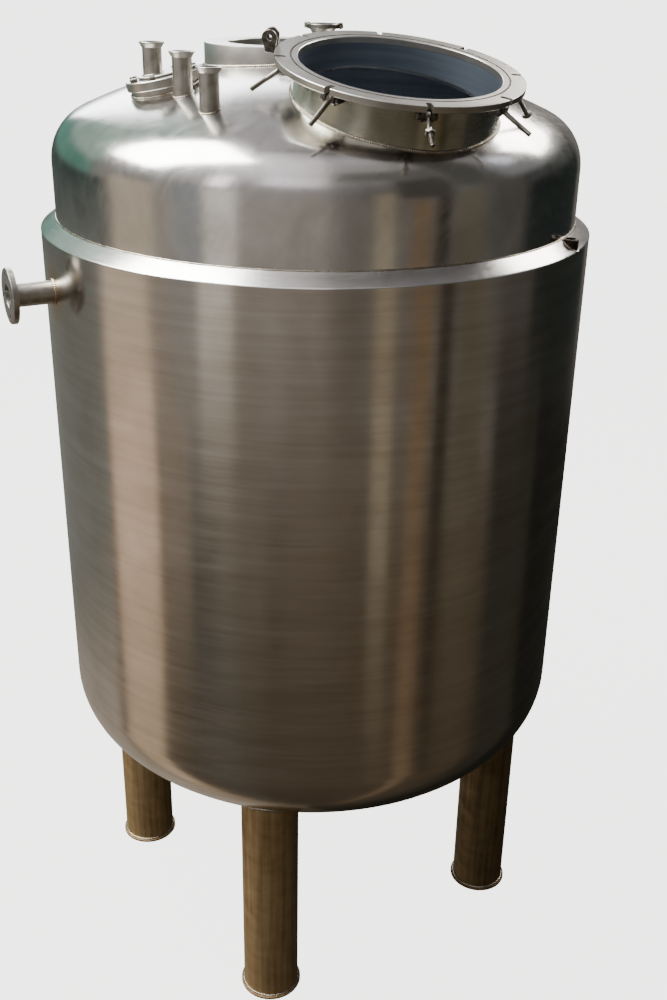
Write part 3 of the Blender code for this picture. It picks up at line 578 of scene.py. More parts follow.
def blackened_steel():
    """Old carbon steel nuts and sockets: brown-black oxide, rough and crusted."""
    made, tree, shader = metal("oxidized_carbon_steel", 0.5)
    crust = blots(tree, 0.004, 6.6, 6.0)
    finish(tree, shader, film(tree, "#50443A", "#1F1813", vary(tree, (crust, 0.1, 0.9))),
           vary(tree, (crust, 0.40, 0.60)))
    relief(tree, shader, (crust, 0.0006))
    return made


WELD_STEEL = tinted_weld()
BAR_STEEL = bright_bar()
PLATE_STEEL = rolled_plate()
DARK_STEEL = blackened_steel()
print("small parts:", WELD_STEEL.name, BAR_STEEL.name, PLATE_STEEL.name, DARK_STEEL.name)

# %% [markdown]
# The inside of the vessel is cold-rolled mill finish, cool and even; the neck's inside is a darker copy of
# it, painted shade. The clamp at the back is a casting, polished to a soft shine. The gasket under the small
# cover
# is black nitrile rubber: not a metal, and matt. A brown film of old grease lies where no cloth reaches.

# %% Grime, inside, clamp and gasket
def grimed_steel():
    """Steel under a brown film of old grease, as in the flange's groove."""
    made, tree, shader = metal("grimed_304_groove", 0.5)
    grime = blots(tree, 0.006, 5.9)
    finish(tree, shader, film(tree, "#6E665A", "#37312A", vary(tree, (grime, 0.1, 0.9))),
           vary(tree, (grime, 0.42, 0.60)))
    relief(tree, shader, (grime, 0.0001))
    return made


def mill_inside(name, skin_colour, haze_colour):
    """304 sheet, cold-rolled: an even cool grey with long faint roll marks."""
    made, tree, shader = metal(name, 0.44)
    roll = lines(tree, 0.02, 0.4, "z", 3.9)
    finish(tree, shader, film(tree, skin_colour, haze_colour, vary(tree, (roll, 0.0, 0.8))),
           vary(tree, (roll, 0.40, 0.48)))
    relief(tree, shader, (blots(tree, 0.2, 2.0, 1.0), 0.0006))
    return made


def cast_clamp():
    """A 304 casting, tumbled: softly shining, a little pitted, with rounded corners."""
    made, tree, shader = metal("tumbled_304_casting", 0.34)
    pits = blots(tree, 0.003, 9.3, 3.0)
    finish(tree, shader, film(tree, "#8F8F87", "#55544B", vary(tree, (pits, 0.0, 0.8))),
           vary(tree, (pits, 0.28, 0.42)))
    relief(tree, shader, (pits, 0.00012))
    return made


def nitrile_rubber():
    """Moulded rubber: a dielectric, near black, matt, with a bloom of grey dust."""
    made, tree, shader = metal("black_nitrile_rubber", 0.6)
    shader.inputs["Metallic"].default_value = 0.0
    dust = blots(tree, 0.006, 1.1)
    finish(tree, shader, film(tree, "#151515", "#2E2D2B", vary(tree, (dust, 0.0, 0.8))),
           vary(tree, (dust, 0.55, 0.75)))
    relief(tree, shader, (dust, 0.00005))
    return made


INSIDE_STEEL = mill_inside("mill_finish_304_inside", "#DDE2E8", "#BCC4CC")
# The neck's inside is a darker copy of the inside steel: painted shade.
NECK_INSIDE_STEEL = mill_inside("shaded_304_neck_inside", "#8F99A5", "#66707B")
GRIMED_STEEL = grimed_steel()
CLAMP_STEEL = cast_clamp()
GASKET_RUBBER = nitrile_rubber()
print("finishes:", sorted(made.name for made in bpy.data.materials if "304" in made.name))

# %% [markdown]
# ## Turned shapes
# Nearly every piece of a tank is round, so one function turns a profile about its axis. A height in the
# profile may be a function of the place, which lets a tube's foot follow the dome it stands on.

# %% Turning helpers
def at_height(x, y, height):
    """A point at a height, which may be a function of x and y."""
    return Vector((x, y, height(x, y) if callable(height) else height))


def bridge(mesh_data, lower, upper):
    """Fill the band between two rings of points with faces; a ring of one point is a tip."""
    steps = max(len(lower), len(upper))
    for step in range(steps):
        after = (step + 1) % steps
        if len(lower) == 1:
            mesh_data.faces.new((lower[0], upper[step], upper[after]))
        elif len(upper) == 1:
            mesh_data.faces.new((lower[step], lower[after], upper[0]))
        else:
            mesh_data.faces.new((lower[step], lower[after], upper[after], upper[step]))


def turned(profile, steps=96):
    """Turn a closed profile of (radius, height) points about Z; a radius of 0 is a point on the axis."""
    mesh_data = bmesh.new()
    rings = []
    for radius, height in profile:
        points = circle(radius, steps if radius else 1)
        rings.append([mesh_data.verts.new(at_height(x, y, height)) for x, y in points])
    pairs = list(zip(rings, rings[1:]))
    if len(rings[0]) > 1 and len(rings[-1]) > 1:
        pairs.append((rings[-1], rings[0]))
    for lower, upper in pairs:
        bridge(mesh_data, lower, upper)
    return mesh_data


print("a small turned piece has", len(circle(1.0, 72)), "points round")

# %% [markdown]
# Mesh data becomes an object in one step and a piece of the tank in another: a piece rides on a body of the
# frame, and it may stand for plain nodes of it, which are then hidden.

# %% Piece helpers
def mesh_object(name, mesh_data, place):
    """Make an object from mesh data and place it."""
    bmesh.ops.recalc_face_normals(mesh_data, faces=mesh_data.faces)
    mesh = bpy.data.meshes.new(name)
    mesh_data.to_mesh(mesh)
    mesh_data.free()
    made = bpy.data.objects.new(name, mesh)
    bpy.context.scene.collection.objects.link(made)
    made.matrix_world = place
    return made


def piece(name, mesh_data, material, place=Matrix(), stands_for=(), body="tank", slot=None, sharp=32):
    """Make a piece, shade it smooth up to an angle, and let it ride on a body of the frame."""
    made = mesh_object(name, mesh_data, place)
    made.data.shade_smooth()
    made.data.set_sharp_from_angle(angle=math.radians(sharp))
    made.data.materials.append(material)
    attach(made, body)
    if stands_for:
        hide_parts(*stands_for)
    slot or stands_for[0]
    return made


def refinish(target, second, chosen):
    """Give the faces that a test on their centre picks a second finish."""
    target.data.materials.append(second)
    for face in target.data.polygons:
        if chosen(face.center):
            face.material_index = 1


def off_axis(point):
    """How far a point lies from the Z axis."""
    return math.hypot(point.x, point.y)


print("a piece rides on the body tank unless another is named")

# %% [markdown]
# Holes are cut with the exact boolean solver, as a drill or a saw would cut them, and the tools are removed.
# A small bevel takes the sharpness off sawn plate.

# %% Cutting and rounding helpers
def combine(target, tools, operation="DIFFERENCE", sharp=32):
    """Cut or join the target with its tools, keep the result as its mesh and remove the tools."""
    for tool in tools:
        change = target.modifiers.new("shape", "BOOLEAN")
        change.operation = operation
        change.solver = "EXACT"
        change.object = tool
    bpy.context.view_layer.update()
    graph = bpy.context.evaluated_depsgraph_get()
    mesh = bpy.data.meshes.new_from_object(target.evaluated_get(graph))
    target.modifiers.clear()
    target.data = mesh
    mesh.set_sharp_from_angle(angle=math.radians(sharp))
    for tool in tools:
        bpy.data.objects.remove(tool)


def soften(target, width, segments=2):
    """Round the sharp edges by a small width, as a file or a grinder does."""
    edge = target.modifiers.new("soft_edges", "BEVEL")
    edge.width = width
    edge.segments = segments
    edge.limit_method = "ANGLE"
    edge.angle_limit = math.radians(35)
    edge.miter_outer = "MITER_ARC"


def ring(outer, inner, low, high):
    """The section of a plain ring."""
    return [(outer, low), (outer, high), (inner, high), (inner, low)]


def rod(radius, low, high):
    """The section of a plain rod."""
    return [(0.0, low), (radius, low), (radius, high), (0.0, high)]


def drill(radius, low, high, place, steps):
    """A round tool for cutting, along a place's Z axis."""
    return mesh_object("drill", turned(rod(radius, low, high), steps), place)


print("a plain ring's section has", len(ring(2.0, 1.0, 0.0, 1.0)), "points")

# %% [markdown]
# A place is a matrix: where a piece's origin is and where its three directions point.

# %% Placing helpers
def frame_matrix(origin, along_x, along_y, along_z):
    """A place from its origin and its three directions."""
    return Matrix.Translation(origin) @ Matrix((along_x, along_y, along_z)).transposed().to_4x4()


def axis_matrix(origin, axis):
    """A frame whose Z runs along the axis."""
    axis = Vector(axis).normalized()
    side = Vector((0.0, 0.0, 1.0)).cross(axis)
    side = Vector((1.0, 0.0, 0.0)) if side.length < 1e-6 else side.normalized()
    return frame_matrix(Vector(origin), side, axis.cross(side), axis)


def direction(towards, tilt=math.pi / 2):
    """A direction of length one that leans from upright towards an angle round Z."""
    return Vector((math.sin(tilt) * math.cos(towards), math.sin(tilt) * math.sin(towards), math.cos(tilt)))


AXIS = Matrix.Translation((TANK_X, 0.0, 0.0))
print("tank axis:", round(1000 * TANK_X, 1), "mm off the middle of the box")

# %% [markdown]
# ## The dished ends
# A tank's roof is pressed from one sheet: a shallow crown with a tight knuckle that turns it into the wall.
# Its section is two arcs that meet smoothly, so its points are computed from the two radii.
# The same two arcs give the distance from the skin, which later seats the pipes and the welds.

# %% Measure the shells and draw the arcs
JACKET_RADIUS = (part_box("jacket_shell")[1].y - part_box("jacket_shell")[0].y) / 2
JACKET_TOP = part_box("jacket_shell")[1].z
JACKET_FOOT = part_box("jacket_shell")[0].z
JACKET_CROWN = 1.200
JACKET_KNUCKLE = 0.1526
JACKET_WALL = 0.004
VESSEL_RADIUS = (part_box("vessel_shell")[1].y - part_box("vessel_shell")[0].y) / 2
VESSEL_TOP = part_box("vessel_shell")[1].z
VESSEL_WALL = 0.005
TOP_CROWN = 1.2255
TOP_KNUCKLE = 0.1104
JACKET_SPACE = JACKET_RADIUS - VESSEL_RADIUS
GAP = 0.0003
SHELL_STEPS = 240


def crown_centre(radius, crown, knuckle):
    """How far the centre of the crown's arc lies behind the rim."""
    return math.sqrt((crown - knuckle) ** 2 - (radius - knuckle) ** 2)


def dish(radius, crown, knuckle, tangent, up, first=0.0, crown_steps=26, knuckle_steps=12):
    """A dished end's section, from a first radius near its pole to its rim; up is -1 for a floor."""
    centre = tangent - up * crown_centre(radius, crown, knuckle)
    join = math.asin((radius - knuckle) / (crown - knuckle))
    start = math.asin(first / crown)
    points = []
    for step in range(crown_steps + 1):
        angle = start + (join - start) * step / crown_steps
        points.append((crown * math.sin(angle), centre + up * crown * math.cos(angle)))
    for step in range(1, knuckle_steps + 1):
        angle = join + (math.pi / 2 - join) * step / knuckle_steps
        points.append((radius - knuckle + knuckle * math.sin(angle),
                       tangent + up * knuckle * math.cos(angle)))
    return points


print("jacket:", round(2000 * JACKET_RADIUS), "mm across, vessel:", round(2000 * VESSEL_RADIUS), "mm")

# %% [markdown]
# The distance from a skin is measured along its own arcs. Where a line meets the skin is then found by
# halving: half of the line that is left over is dropped again and again.

# %% Measure the distance from a skin
def from_tank_axis(point):
    """How far a point lies from the tank's axis."""
    return math.hypot(point.x - TANK_X, point.y)


def dish_distance(point, radius, crown, knuckle, tangent, up):
    """How far a point lies outside a dished end's skin."""
    across = from_tank_axis(point)
    above = up * (point.z - tangent)
    if above < 0.0:
        return across - radius
    centre = crown_centre(radius, crown, knuckle)
    join = math.asin((radius - knuckle) / (crown - knuckle))
    if math.atan2(across, above + centre) < join:
        return math.hypot(across, above + centre) - crown
    return math.hypot(across - radius + knuckle, above) - knuckle


def roof_distance(point):
    return dish_distance(point, VESSEL_RADIUS, TOP_CROWN, TOP_KNUCKLE, VESSEL_TOP, 1)


def floor_distance(point):
    return dish_distance(point, JACKET_RADIUS, JACKET_CROWN, JACKET_KNUCKLE, JACKET_FOOT, -1)


HALVINGS = 36


def foot_on(distance, place, lowest, highest, off=0.0):
    """A function of x and y: the height where a line along the place's Z meets a skin, or stays off it."""
    def height(x, y):
        low, high = lowest, highest
        for _ in range(HALVINGS):
            middle = (low + high) / 2
            if distance(place @ Vector((x, y, middle))) > off:
                high = middle
            else:
                low = middle
        return (low + high) / 2
    return height


ROOF_PLATES = tuple(name for name in frame["nodes"] if name.startswith("top_head"))
roof_rise = max(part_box(name)[1].z for name in ROOF_PLATES) - VESSEL_TOP
print("roof rises", round(1000 * roof_rise), "mm over its rim")

# %% [markdown]
# ## Shells
# Rolled sheet is never quite true: it dips a little between its stiff edges, and mirrored bands wander where
# it does. So the jacket and its floor are turned in many rings, and each point moves inwards by up to
# 0.6 mm. The roof's skin keeps its true shape, because the fittings are fitted to it.

# %% Jacket, vessel and ring
DIP = 0.0006
DIP_SIZE = 0.28


def dented(mesh_data, centre_radius):
    """Move the points of a shell inwards by smooth noise."""
    for vertex in mesh_data.verts:
        across = Vector((vertex.co.x, vertex.co.y, 0.0))
        if across.length > centre_radius:
            depth = DIP * (0.5 + 0.5 * noise.noise(vertex.co / DIP_SIZE))
            vertex.co -= across.normalized() * depth
    return mesh_data


def wall_points(radius, low, high, rings):
    """The section of a wall, from one height to another."""
    return [(radius, low + (high - low) * step / rings) for step in range(rings + 1)]


outside = wall_points(JACKET_RADIUS, JACKET_FOOT, JACKET_TOP, 28)
inside = wall_points(JACKET_RADIUS - JACKET_WALL, JACKET_TOP, JACKET_FOOT, 4)
jacket = piece("jacket_sheet", dented(turned(outside + inside, SHELL_STEPS), 0.4), JACKET_STEEL, AXIS,
               ("jacket_shell",))

OUTLET_RADIUS = 0.0254
OUTLET_WALL = 0.0016
skin = dish(JACKET_RADIUS, JACKET_CROWN, JACKET_KNUCKLE, JACKET_FOOT, -1, OUTLET_RADIUS + GAP)
lining = dish(JACKET_RADIUS - JACKET_WALL, JACKET_CROWN - JACKET_WALL, JACKET_KNUCKLE - JACKET_WALL,
              JACKET_FOOT, -1, OUTLET_RADIUS + GAP)
piece("jacket_dished_end", dented(turned(skin + lining[::-1], SHELL_STEPS), 0.02), JACKET_STEEL, AXIS,
      ("jacket_bottom",))

STRAIGHT_LOW = JACKET_TOP - 0.02
roof_skin = dish(VESSEL_RADIUS, TOP_CROWN, TOP_KNUCKLE, VESSEL_TOP, 1, crown_steps=40)
roof_lining = dish(VESSEL_RADIUS - VESSEL_WALL, TOP_CROWN - VESSEL_WALL, TOP_KNUCKLE - VESSEL_WALL,
                   VESSEL_TOP, 1, crown_steps=40)
profile = (roof_skin + wall_points(VESSEL_RADIUS, VESSEL_TOP, STRAIGHT_LOW, 5)[1:]
           + wall_points(VESSEL_RADIUS - VESSEL_WALL, STRAIGHT_LOW, VESSEL_TOP, 5)[:-1] + roof_lining[::-1])
roof = piece("roof_pressing", turned(profile, SHELL_STEPS), ROOF_STEEL, AXIS, ROOF_PLATES)
refinish(roof, INSIDE_STEEL, lambda spot: roof_distance(AXIS @ spot) < -VESSEL_WALL / 2)

profile = ring(VESSEL_RADIUS, VESSEL_RADIUS - VESSEL_WALL, JACKET_FOOT, STRAIGHT_LOW - GAP)
piece("vessel_wall", turned(profile, SHELL_STEPS), INSIDE_STEEL, AXIS, ("vessel_shell",))
inner_crown = JACKET_CROWN - JACKET_SPACE
inner_knuckle = JACKET_KNUCKLE - JACKET_SPACE
bore = OUTLET_RADIUS - OUTLET_WALL
skin = dish(VESSEL_RADIUS, inner_crown, inner_knuckle, JACKET_FOOT, -1, bore)
lining = dish(VESSEL_RADIUS - VESSEL_WALL, inner_crown - VESSEL_WALL, inner_knuckle - VESSEL_WALL,
              JACKET_FOOT, -1, bore)
piece("vessel_dished_end", turned(skin + lining[::-1], SHELL_STEPS), INSIDE_STEEL, AXIS, ("vessel_bottom",))

RING_PLATE = 0.005
RING_CORNER = ((0.0, GAP), (0.0006, 0.0016), (0.0020, 0.0029))  # inwards and upwards from the jacket's edge
RING_FOOT = 0.0065
ring_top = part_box("jacket_closure_ring")[1].z
inner = VESSEL_RADIUS + GAP
shoulder = [(JACKET_RADIUS - inwards, JACKET_TOP + upwards) for inwards, upwards in RING_CORNER]
shoulder += [(inner, ring_top), (inner, ring_top - RING_PLATE), (JACKET_RADIUS - RING_FOOT, JACKET_TOP + GAP)]
piece("shoulder_ring", turned(shoulder, SHELL_STEPS), RING_STEEL, AXIS, ("jacket_closure_ring",))
print("shoulder ring rises", round(1000 * (ring_top - JACKET_TOP)), "mm over the jacket")

# %% [markdown]
# ## Welds
# A fillet weld is a bead laid along a corner, with ripples where the puddle froze. It is a tube along the
# corner line, half sunk in both plates, whose radius swells and shrinks once a ripple. Every weld on the tank
# runs round an axis, so its points come from a circle whose height may follow a skin.

# %% Weld helper
RIPPLE = 0.0042
RIPPLE_SWELL = 0.10
WANDER_SWELL = 0.08
WANDERS = 60  # to the metre
BEAD_SIDES = 8
LARGE_WELD_STEPS = 1200


def weld(name, place, radius, height, slot, width, out, steps=None):
    """A bead round a place's Z axis; out is how far its middle lies off the radius that it goes round."""
    mesh_data = bmesh.new()
    rings = []
    count = steps or max(24, round(2 * math.pi * radius / (RIPPLE / 4)))
    points = [place @ at_height(x, y, height) for x, y in circle(radius + out, count)]
    up = place.to_3x3() @ Vector((0.0, 0.0, 1.0))
    length = sum((points[(index + 1) % count] - points[index]).length for index in range(count))
    ripples = max(3, round(length / RIPPLE))
    for index, point in enumerate(points):
        along = (points[(index + 1) % count] - points[index - 1]).normalized()
        side = along.cross(up).normalized()
        off = side.cross(along)
        swell = (1.0 + RIPPLE_SWELL * math.cos(2 * math.pi * ripples * index / count)
                 + WANDER_SWELL * noise.noise(point * WANDERS))
        rings.append([mesh_data.verts.new(point + (side * x + off * y) * width * swell)
                      for x, y in circle(1.0, BEAD_SIDES)])
    for index in range(count):
        bridge(mesh_data, rings[index], rings[(index + 1) % count])
    piece(name, mesh_data, WELD_STEEL, slot=slot, sharp=60)


weld("weld_shoulder_inner", AXIS, VESSEL_RADIUS, ring_top - 0.0004, "jacket_closure_ring", width=0.0018,
     out=0.0005, steps=900)
print("a weld ripple is", 1000 * RIPPLE, "mm long")

# %% [markdown]
# ## Legs
# Four pipes carry the tank. Each is cut at its top to follow the dished floor, welded there, and stands on a
# round plate. The pipe's top edge takes its height from the floor's arcs, place by place.

# %% Legs, plates and their welds
LEG_WALL = 0.004
LEG_NAMES = ("front", "right", "back", "left")
# The right and the back leg take the darker copy of the leg steel, which is painted shade.
UNWIPED_LEGS = ("right", "back")
PLATE_FOOT_EDGE = 0.0012
PLATE_TOP_EDGE = 0.0014
for name in LEG_NAMES:
    low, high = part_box("foot_plate_" + name)
    centre = (low + high) / 2
    plate_radius = (high.x - low.x) / 2
    leg_low, leg_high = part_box("leg_" + name)
    radius = (leg_high.x - leg_low.x) / 2
    place = Matrix.Translation((centre.x, centre.y, 0.0))
    flip = place @ Matrix.Rotation(math.pi, 4, "X")
    down = foot_on(floor_distance, flip, -0.80, -0.40, GAP)
    local_low = -leg_low.z
    profile = [(radius, local_low), (radius - LEG_WALL, local_low), (radius - LEG_WALL, down), (radius, down)]
    # The darker copy for the right and the back leg is painted shade.
    skin_steel = SHADED_LEG_STEEL if name in UNWIPED_LEGS else LEG_STEEL
    piece("leg_pipe_" + name, turned(profile, 72), skin_steel, flip, ("leg_" + name,))
    profile = [(0.0, low.z), (plate_radius - PLATE_FOOT_EDGE, low.z),
               (plate_radius, low.z + PLATE_FOOT_EDGE), (plate_radius, high.z - PLATE_TOP_EDGE),
               (plate_radius - PLATE_TOP_EDGE, high.z), (0.0, high.z)]
    piece("leg_plate_" + name, turned(profile, 72), skin_steel, place, ("foot_plate_" + name,))
    weld("weld_leg_top_" + name, flip, radius, down, "leg_" + name, width=0.0034, out=0.0004, steps=320)
    weld("weld_leg_foot_" + name, place, radius, high.z + 0.0004, "foot_plate_" + name, width=0.0030,
         out=0.0004)
print("legs:", len(LEG_NAMES))

# %% [markdown]
# ## The manhole
# A short neck leans forward out of the roof and ends in a flat flange, with a shallow groove for the lid's
# gasket and eight slots that the swing bolts stand in when they hold the lid. The slots are cut with a tool
# shape of their outline. The flange is turned about its own axis so that its box stays in the tank's.

# %% Manhole measures and outlines
MANHOLE_TOP = Vector((0.1547 + TANK_X, -0.3156, 2.1468))
MANHOLE_TILT = math.radians(11.67)
MANHOLE_TILT_TOWARDS = math.radians(-62.5)
MANHOLE_TURN = math.radians(-17.5)
NECK_RADIUS = 0.200
NECK_WALL = 0.006
FLANGE_RADIUS = 0.2373
FLANGE_BORE = 0.1935
FLANGE_THICKNESS = 0.012
GROOVE_RADIUS = 0.2065
GROOVE_HALF = 0.0020
GROOVE_DEPTH = 0.0016
FLANGE_EDGE = 0.001
BORE_EDGE = 0.0012
SLOT_WIDTH = 0.0115
SLOT_INNER_CENTRE = 0.2213
SLOT_CUT_PAST = 0.004
PIVOT_DROP = 0.010
PIVOT_RADIUS = 0.222
manhole_up = direction(MANHOLE_TILT_TOWARDS, MANHOLE_TILT)
MANHOLE = axis_matrix(MANHOLE_TOP, manhole_up) @ Matrix.Rotation(MANHOLE_TURN, 4, "Z")


def plate(outline, low, high):
    """A flat plate of an outline in the local XY plane."""
    mesh_data = bmesh.new()
    under = [mesh_data.verts.new((x, y, low)) for x, y in outline]
    top = [mesh_data.verts.new((x, y, high)) for x, y in outline]
    mesh_data.faces.new(under)
    mesh_data.faces.new(top)
    bridge(mesh_data, under, top)
    return mesh_data


def slot_outline():
    """A slot's outline, open at the rim, with the swing bolt's pin as the origin."""
    half = SLOT_WIDTH / 2
    inner = SLOT_INNER_CENTRE - PIVOT_RADIUS
    outer = FLANGE_RADIUS - PIVOT_RADIUS + half
    points = [(outer, half)]
    for step in range(13):
        angle = math.pi / 2 + math.pi * step / 12
        points.append((inner + half * math.cos(angle), half * math.sin(angle)))
    points.append((outer, -half))
    return points


def lug_frame(joint):
    """A frame on a swing bolt's pin: X outward, Y along the pin, Z off the flange's face."""
    along_pin = -Vector(joint["axis"])
    return frame_matrix(Vector(joint["pos_m"]), along_pin.cross(manhole_up), along_pin, manhole_up)


print("manhole leans", round(math.degrees(MANHOLE_TILT), 1), "degrees from upright")

# %% [markdown]
# The neck's foot follows the roof. The flange is one turned plate, and the faces in its groove get the grime
# that gathers there.

# %% Neck and flange
def in_groove(spot):
    """Tell the faces in the gasket groove from the rest of the flange."""
    return abs(off_axis(spot) - GROOVE_RADIUS) < GROOVE_HALF + 0.0002 and spot.z < -0.0004


neck_foot = foot_on(roof_distance, MANHOLE, -0.25, 0.0)
profile = [(NECK_RADIUS, neck_foot), (NECK_RADIUS, -FLANGE_THICKNESS - GAP),
           (NECK_RADIUS - NECK_WALL, -FLANGE_THICKNESS - GAP), (NECK_RADIUS - NECK_WALL, neck_foot)]
neck = piece("manhole_neck_tube", turned(profile, 192), NECK_STEEL, MANHOLE, ("manhole_neck",))
# The neck's inner faces get the darker copy of the inside steel, which is painted shade.
refinish(neck, NECK_INSIDE_STEEL, lambda spot: off_axis(spot) < NECK_RADIUS - NECK_WALL / 2)
profile = [(FLANGE_RADIUS, -FLANGE_THICKNESS + FLANGE_EDGE), (FLANGE_RADIUS, -FLANGE_EDGE),
           (FLANGE_RADIUS - FLANGE_EDGE, 0.0), (GROOVE_RADIUS + GROOVE_HALF, 0.0),
           (GROOVE_RADIUS + GROOVE_HALF, -GROOVE_DEPTH), (GROOVE_RADIUS - GROOVE_HALF, -GROOVE_DEPTH),
           (GROOVE_RADIUS - GROOVE_HALF, 0.0), (FLANGE_BORE + BORE_EDGE, 0.0), (FLANGE_BORE, -BORE_EDGE),
           (FLANGE_BORE, -FLANGE_THICKNESS), (FLANGE_RADIUS - FLANGE_EDGE, -FLANGE_THICKNESS)]
flange = piece("manhole_flange_ring", turned(profile, 240), FACE_STEEL, MANHOLE, ("manhole_flange",))
refinish(flange, GRIMED_STEEL, in_groove)
slots = []
slot_foot = PIVOT_DROP - SLOT_CUT_PAST
slot_top = PIVOT_DROP + FLANGE_THICKNESS + SLOT_CUT_PAST
for joint in frame["joints"]:
    slots.append(mesh_object("slot_tool", plate(slot_outline(), slot_foot, slot_top), lug_frame(joint)))
combine(flange, slots)
weld("weld_neck_foot", MANHOLE, NECK_RADIUS, neck_foot, "manhole_neck", width=0.0032, out=0.0008,
     steps=LARGE_WELD_STEPS)
weld("weld_neck_flange", MANHOLE, NECK_RADIUS, -FLANGE_THICKNESS - 0.0002, "manhole_neck", width=0.0028,
     out=0.0004, steps=LARGE_WELD_STEPS)
print("manhole flange:", round(2000 * FLANGE_RADIUS), "mm across,", len(slots), "slots")

# %% [markdown]
# ## Swing bolts
# Each bolt turns on a headed pin between two ears. The joint's axis is the pin, and its high limit is the
# bolt standing straight up off the flange, so turning back from there by that limit gives where it lies.
# An eye is a ring; the shank is turned, and its thread is a helix in the radius of a fine cylinder.

# %% Ear and thread helpers
EAR_THICKNESS = 0.006
EAR_GAP = 0.012
EAR_DEPTH = 0.020
EAR_END = 0.009
PIN_RADIUS = 0.0038
PIN_HEAD = 0.0065
PIN_HEAD_LENGTH = 0.007
EYE_RADIUS = 0.0085
EYE_BORE = 0.0042
EYE_WIDTH = 0.010
BOLT_RADIUS = 0.0048
BOLT_LENGTH = 0.070
THREAD_START = 0.034
THREAD_PITCH = 0.0015
THREAD_DEPTH = 0.0007
THREAD_CHAMFER = 0.0012
CHAMFER_SLOPE = 0.9
NUTS = {"front": 0.038, "right": 0.0655}
NUT_FLATS = 0.017
NUT_THICKNESS = 0.008


def ear_outline():
    """An ear's outline: square at the neck, round at its foot, with the pin as the origin."""
    inner = NECK_RADIUS + 0.002 - PIVOT_RADIUS
    points = [(EAR_END, PIVOT_DROP - GAP), (inner, PIVOT_DROP - GAP), (inner, PIVOT_DROP - EAR_DEPTH)]
    for step in range(9):
        angle = -math.pi / 2 + math.pi / 2 * step / 8
        points.append((EAR_END * math.cos(angle), (EAR_DEPTH - PIVOT_DROP) * math.sin(angle)))
    return points


def threaded(radius, low, high, steps=24):
    """A bar with a helical thread from THREAD_START on, chamfered at its end."""
    profile_steps = round((high - THREAD_START) / (THREAD_PITCH / 5))
    heights = [low + (THREAD_START - low) * step / 4 for step in range(4)]
    heights += [THREAD_START + (high - THREAD_START) * step / profile_steps
                for step in range(profile_steps + 1)]
    mesh_data = bmesh.new()
    rings = []
    for height in heights:
        ring_points = []
        for step in range(steps):
            share_round = step / steps
            phase = (height / THREAD_PITCH - share_round) % 1.0
            depth = THREAD_DEPTH * abs(2 * phase - 1) if height > THREAD_START else 0.0
            depth += max(0.0, THREAD_CHAMFER - (high - height)) * CHAMFER_SLOPE
            reach = radius - depth
            ring_points.append(mesh_data.verts.new((reach * math.cos(2 * math.pi * share_round),
                                                    reach * math.sin(2 * math.pi * share_round), height)))
        rings.append(ring_points)
    for lower, upper in zip(rings, rings[1:]):
        bridge(mesh_data, lower, upper)
    mesh_data.faces.new(rings[0])
    mesh_data.faces.new(rings[-1])
    return mesh_data


print("thread:", round((BOLT_LENGTH - THREAD_START) / THREAD_PITCH), "turns of", 1000 * THREAD_PITCH, "mm")

# %% [markdown]
# A hexagon's corners are turned down to a cone at each face, so that they don't cut a hand. In a mesh, each
# ring of points is held inside a circle.

# %% Hexagon helper
HEXAGON_STEPS = 48
HEXAGON_CHAMFER = 0.0012


def hexagon(flats, low, high, hole=0.0):
    """A hexagon nut or head: six sides, turned down to a cone at each face."""
    corner = flats / math.sqrt(3)
    face_limit = flats / 2 * 0.96
    rings = []
    mesh_data = bmesh.new()
    for height, limit in ((low, face_limit), (low + HEXAGON_CHAMFER, corner),
                          (high - HEXAGON_CHAMFER, corner), (high, face_limit)):
        ring_points = []
        for step in range(HEXAGON_STEPS):
            angle = 2 * math.pi * step / HEXAGON_STEPS
            reach = flats / 2 / math.cos((angle + math.pi / 6) % (math.pi / 3) - math.pi / 6)
            out = min(reach, limit)
            ring_points.append(mesh_data.verts.new((out * math.cos(angle), out * math.sin(angle), height)))
        rings.append(ring_points)
    if hole:
        for height in (high, low):
            rings.append([mesh_data.verts.new((x, y, height)) for x, y in circle(hole, HEXAGON_STEPS)])
        bridge(mesh_data, rings[-1], rings[0])
    else:
        mesh_data.faces.new(rings[0])
        mesh_data.faces.new(rings[-1])
    for lower, upper in zip(rings, rings[1:]):
        bridge(mesh_data, lower, upper)
    return mesh_data


print("nut:", round(1000 * NUT_FLATS), "mm across its flats,", round(1000 * NUT_THICKNESS), "mm thick")

# %% [markdown]
# The frame's joints say where each pin is and which way it points. A bolt's eye is turned about the pin and
# its shank is joined to it, so that the two are one forged piece. Two bolts still carry a nut.

# %% Ears, pins, bolts and nuts
PIN_EDGE = 0.0015
EYE_EDGE = 0.001
EYE_BORE_EDGE = 0.0004
DRILL_EASE = 0.0001
EAR_FILING = 0.0005

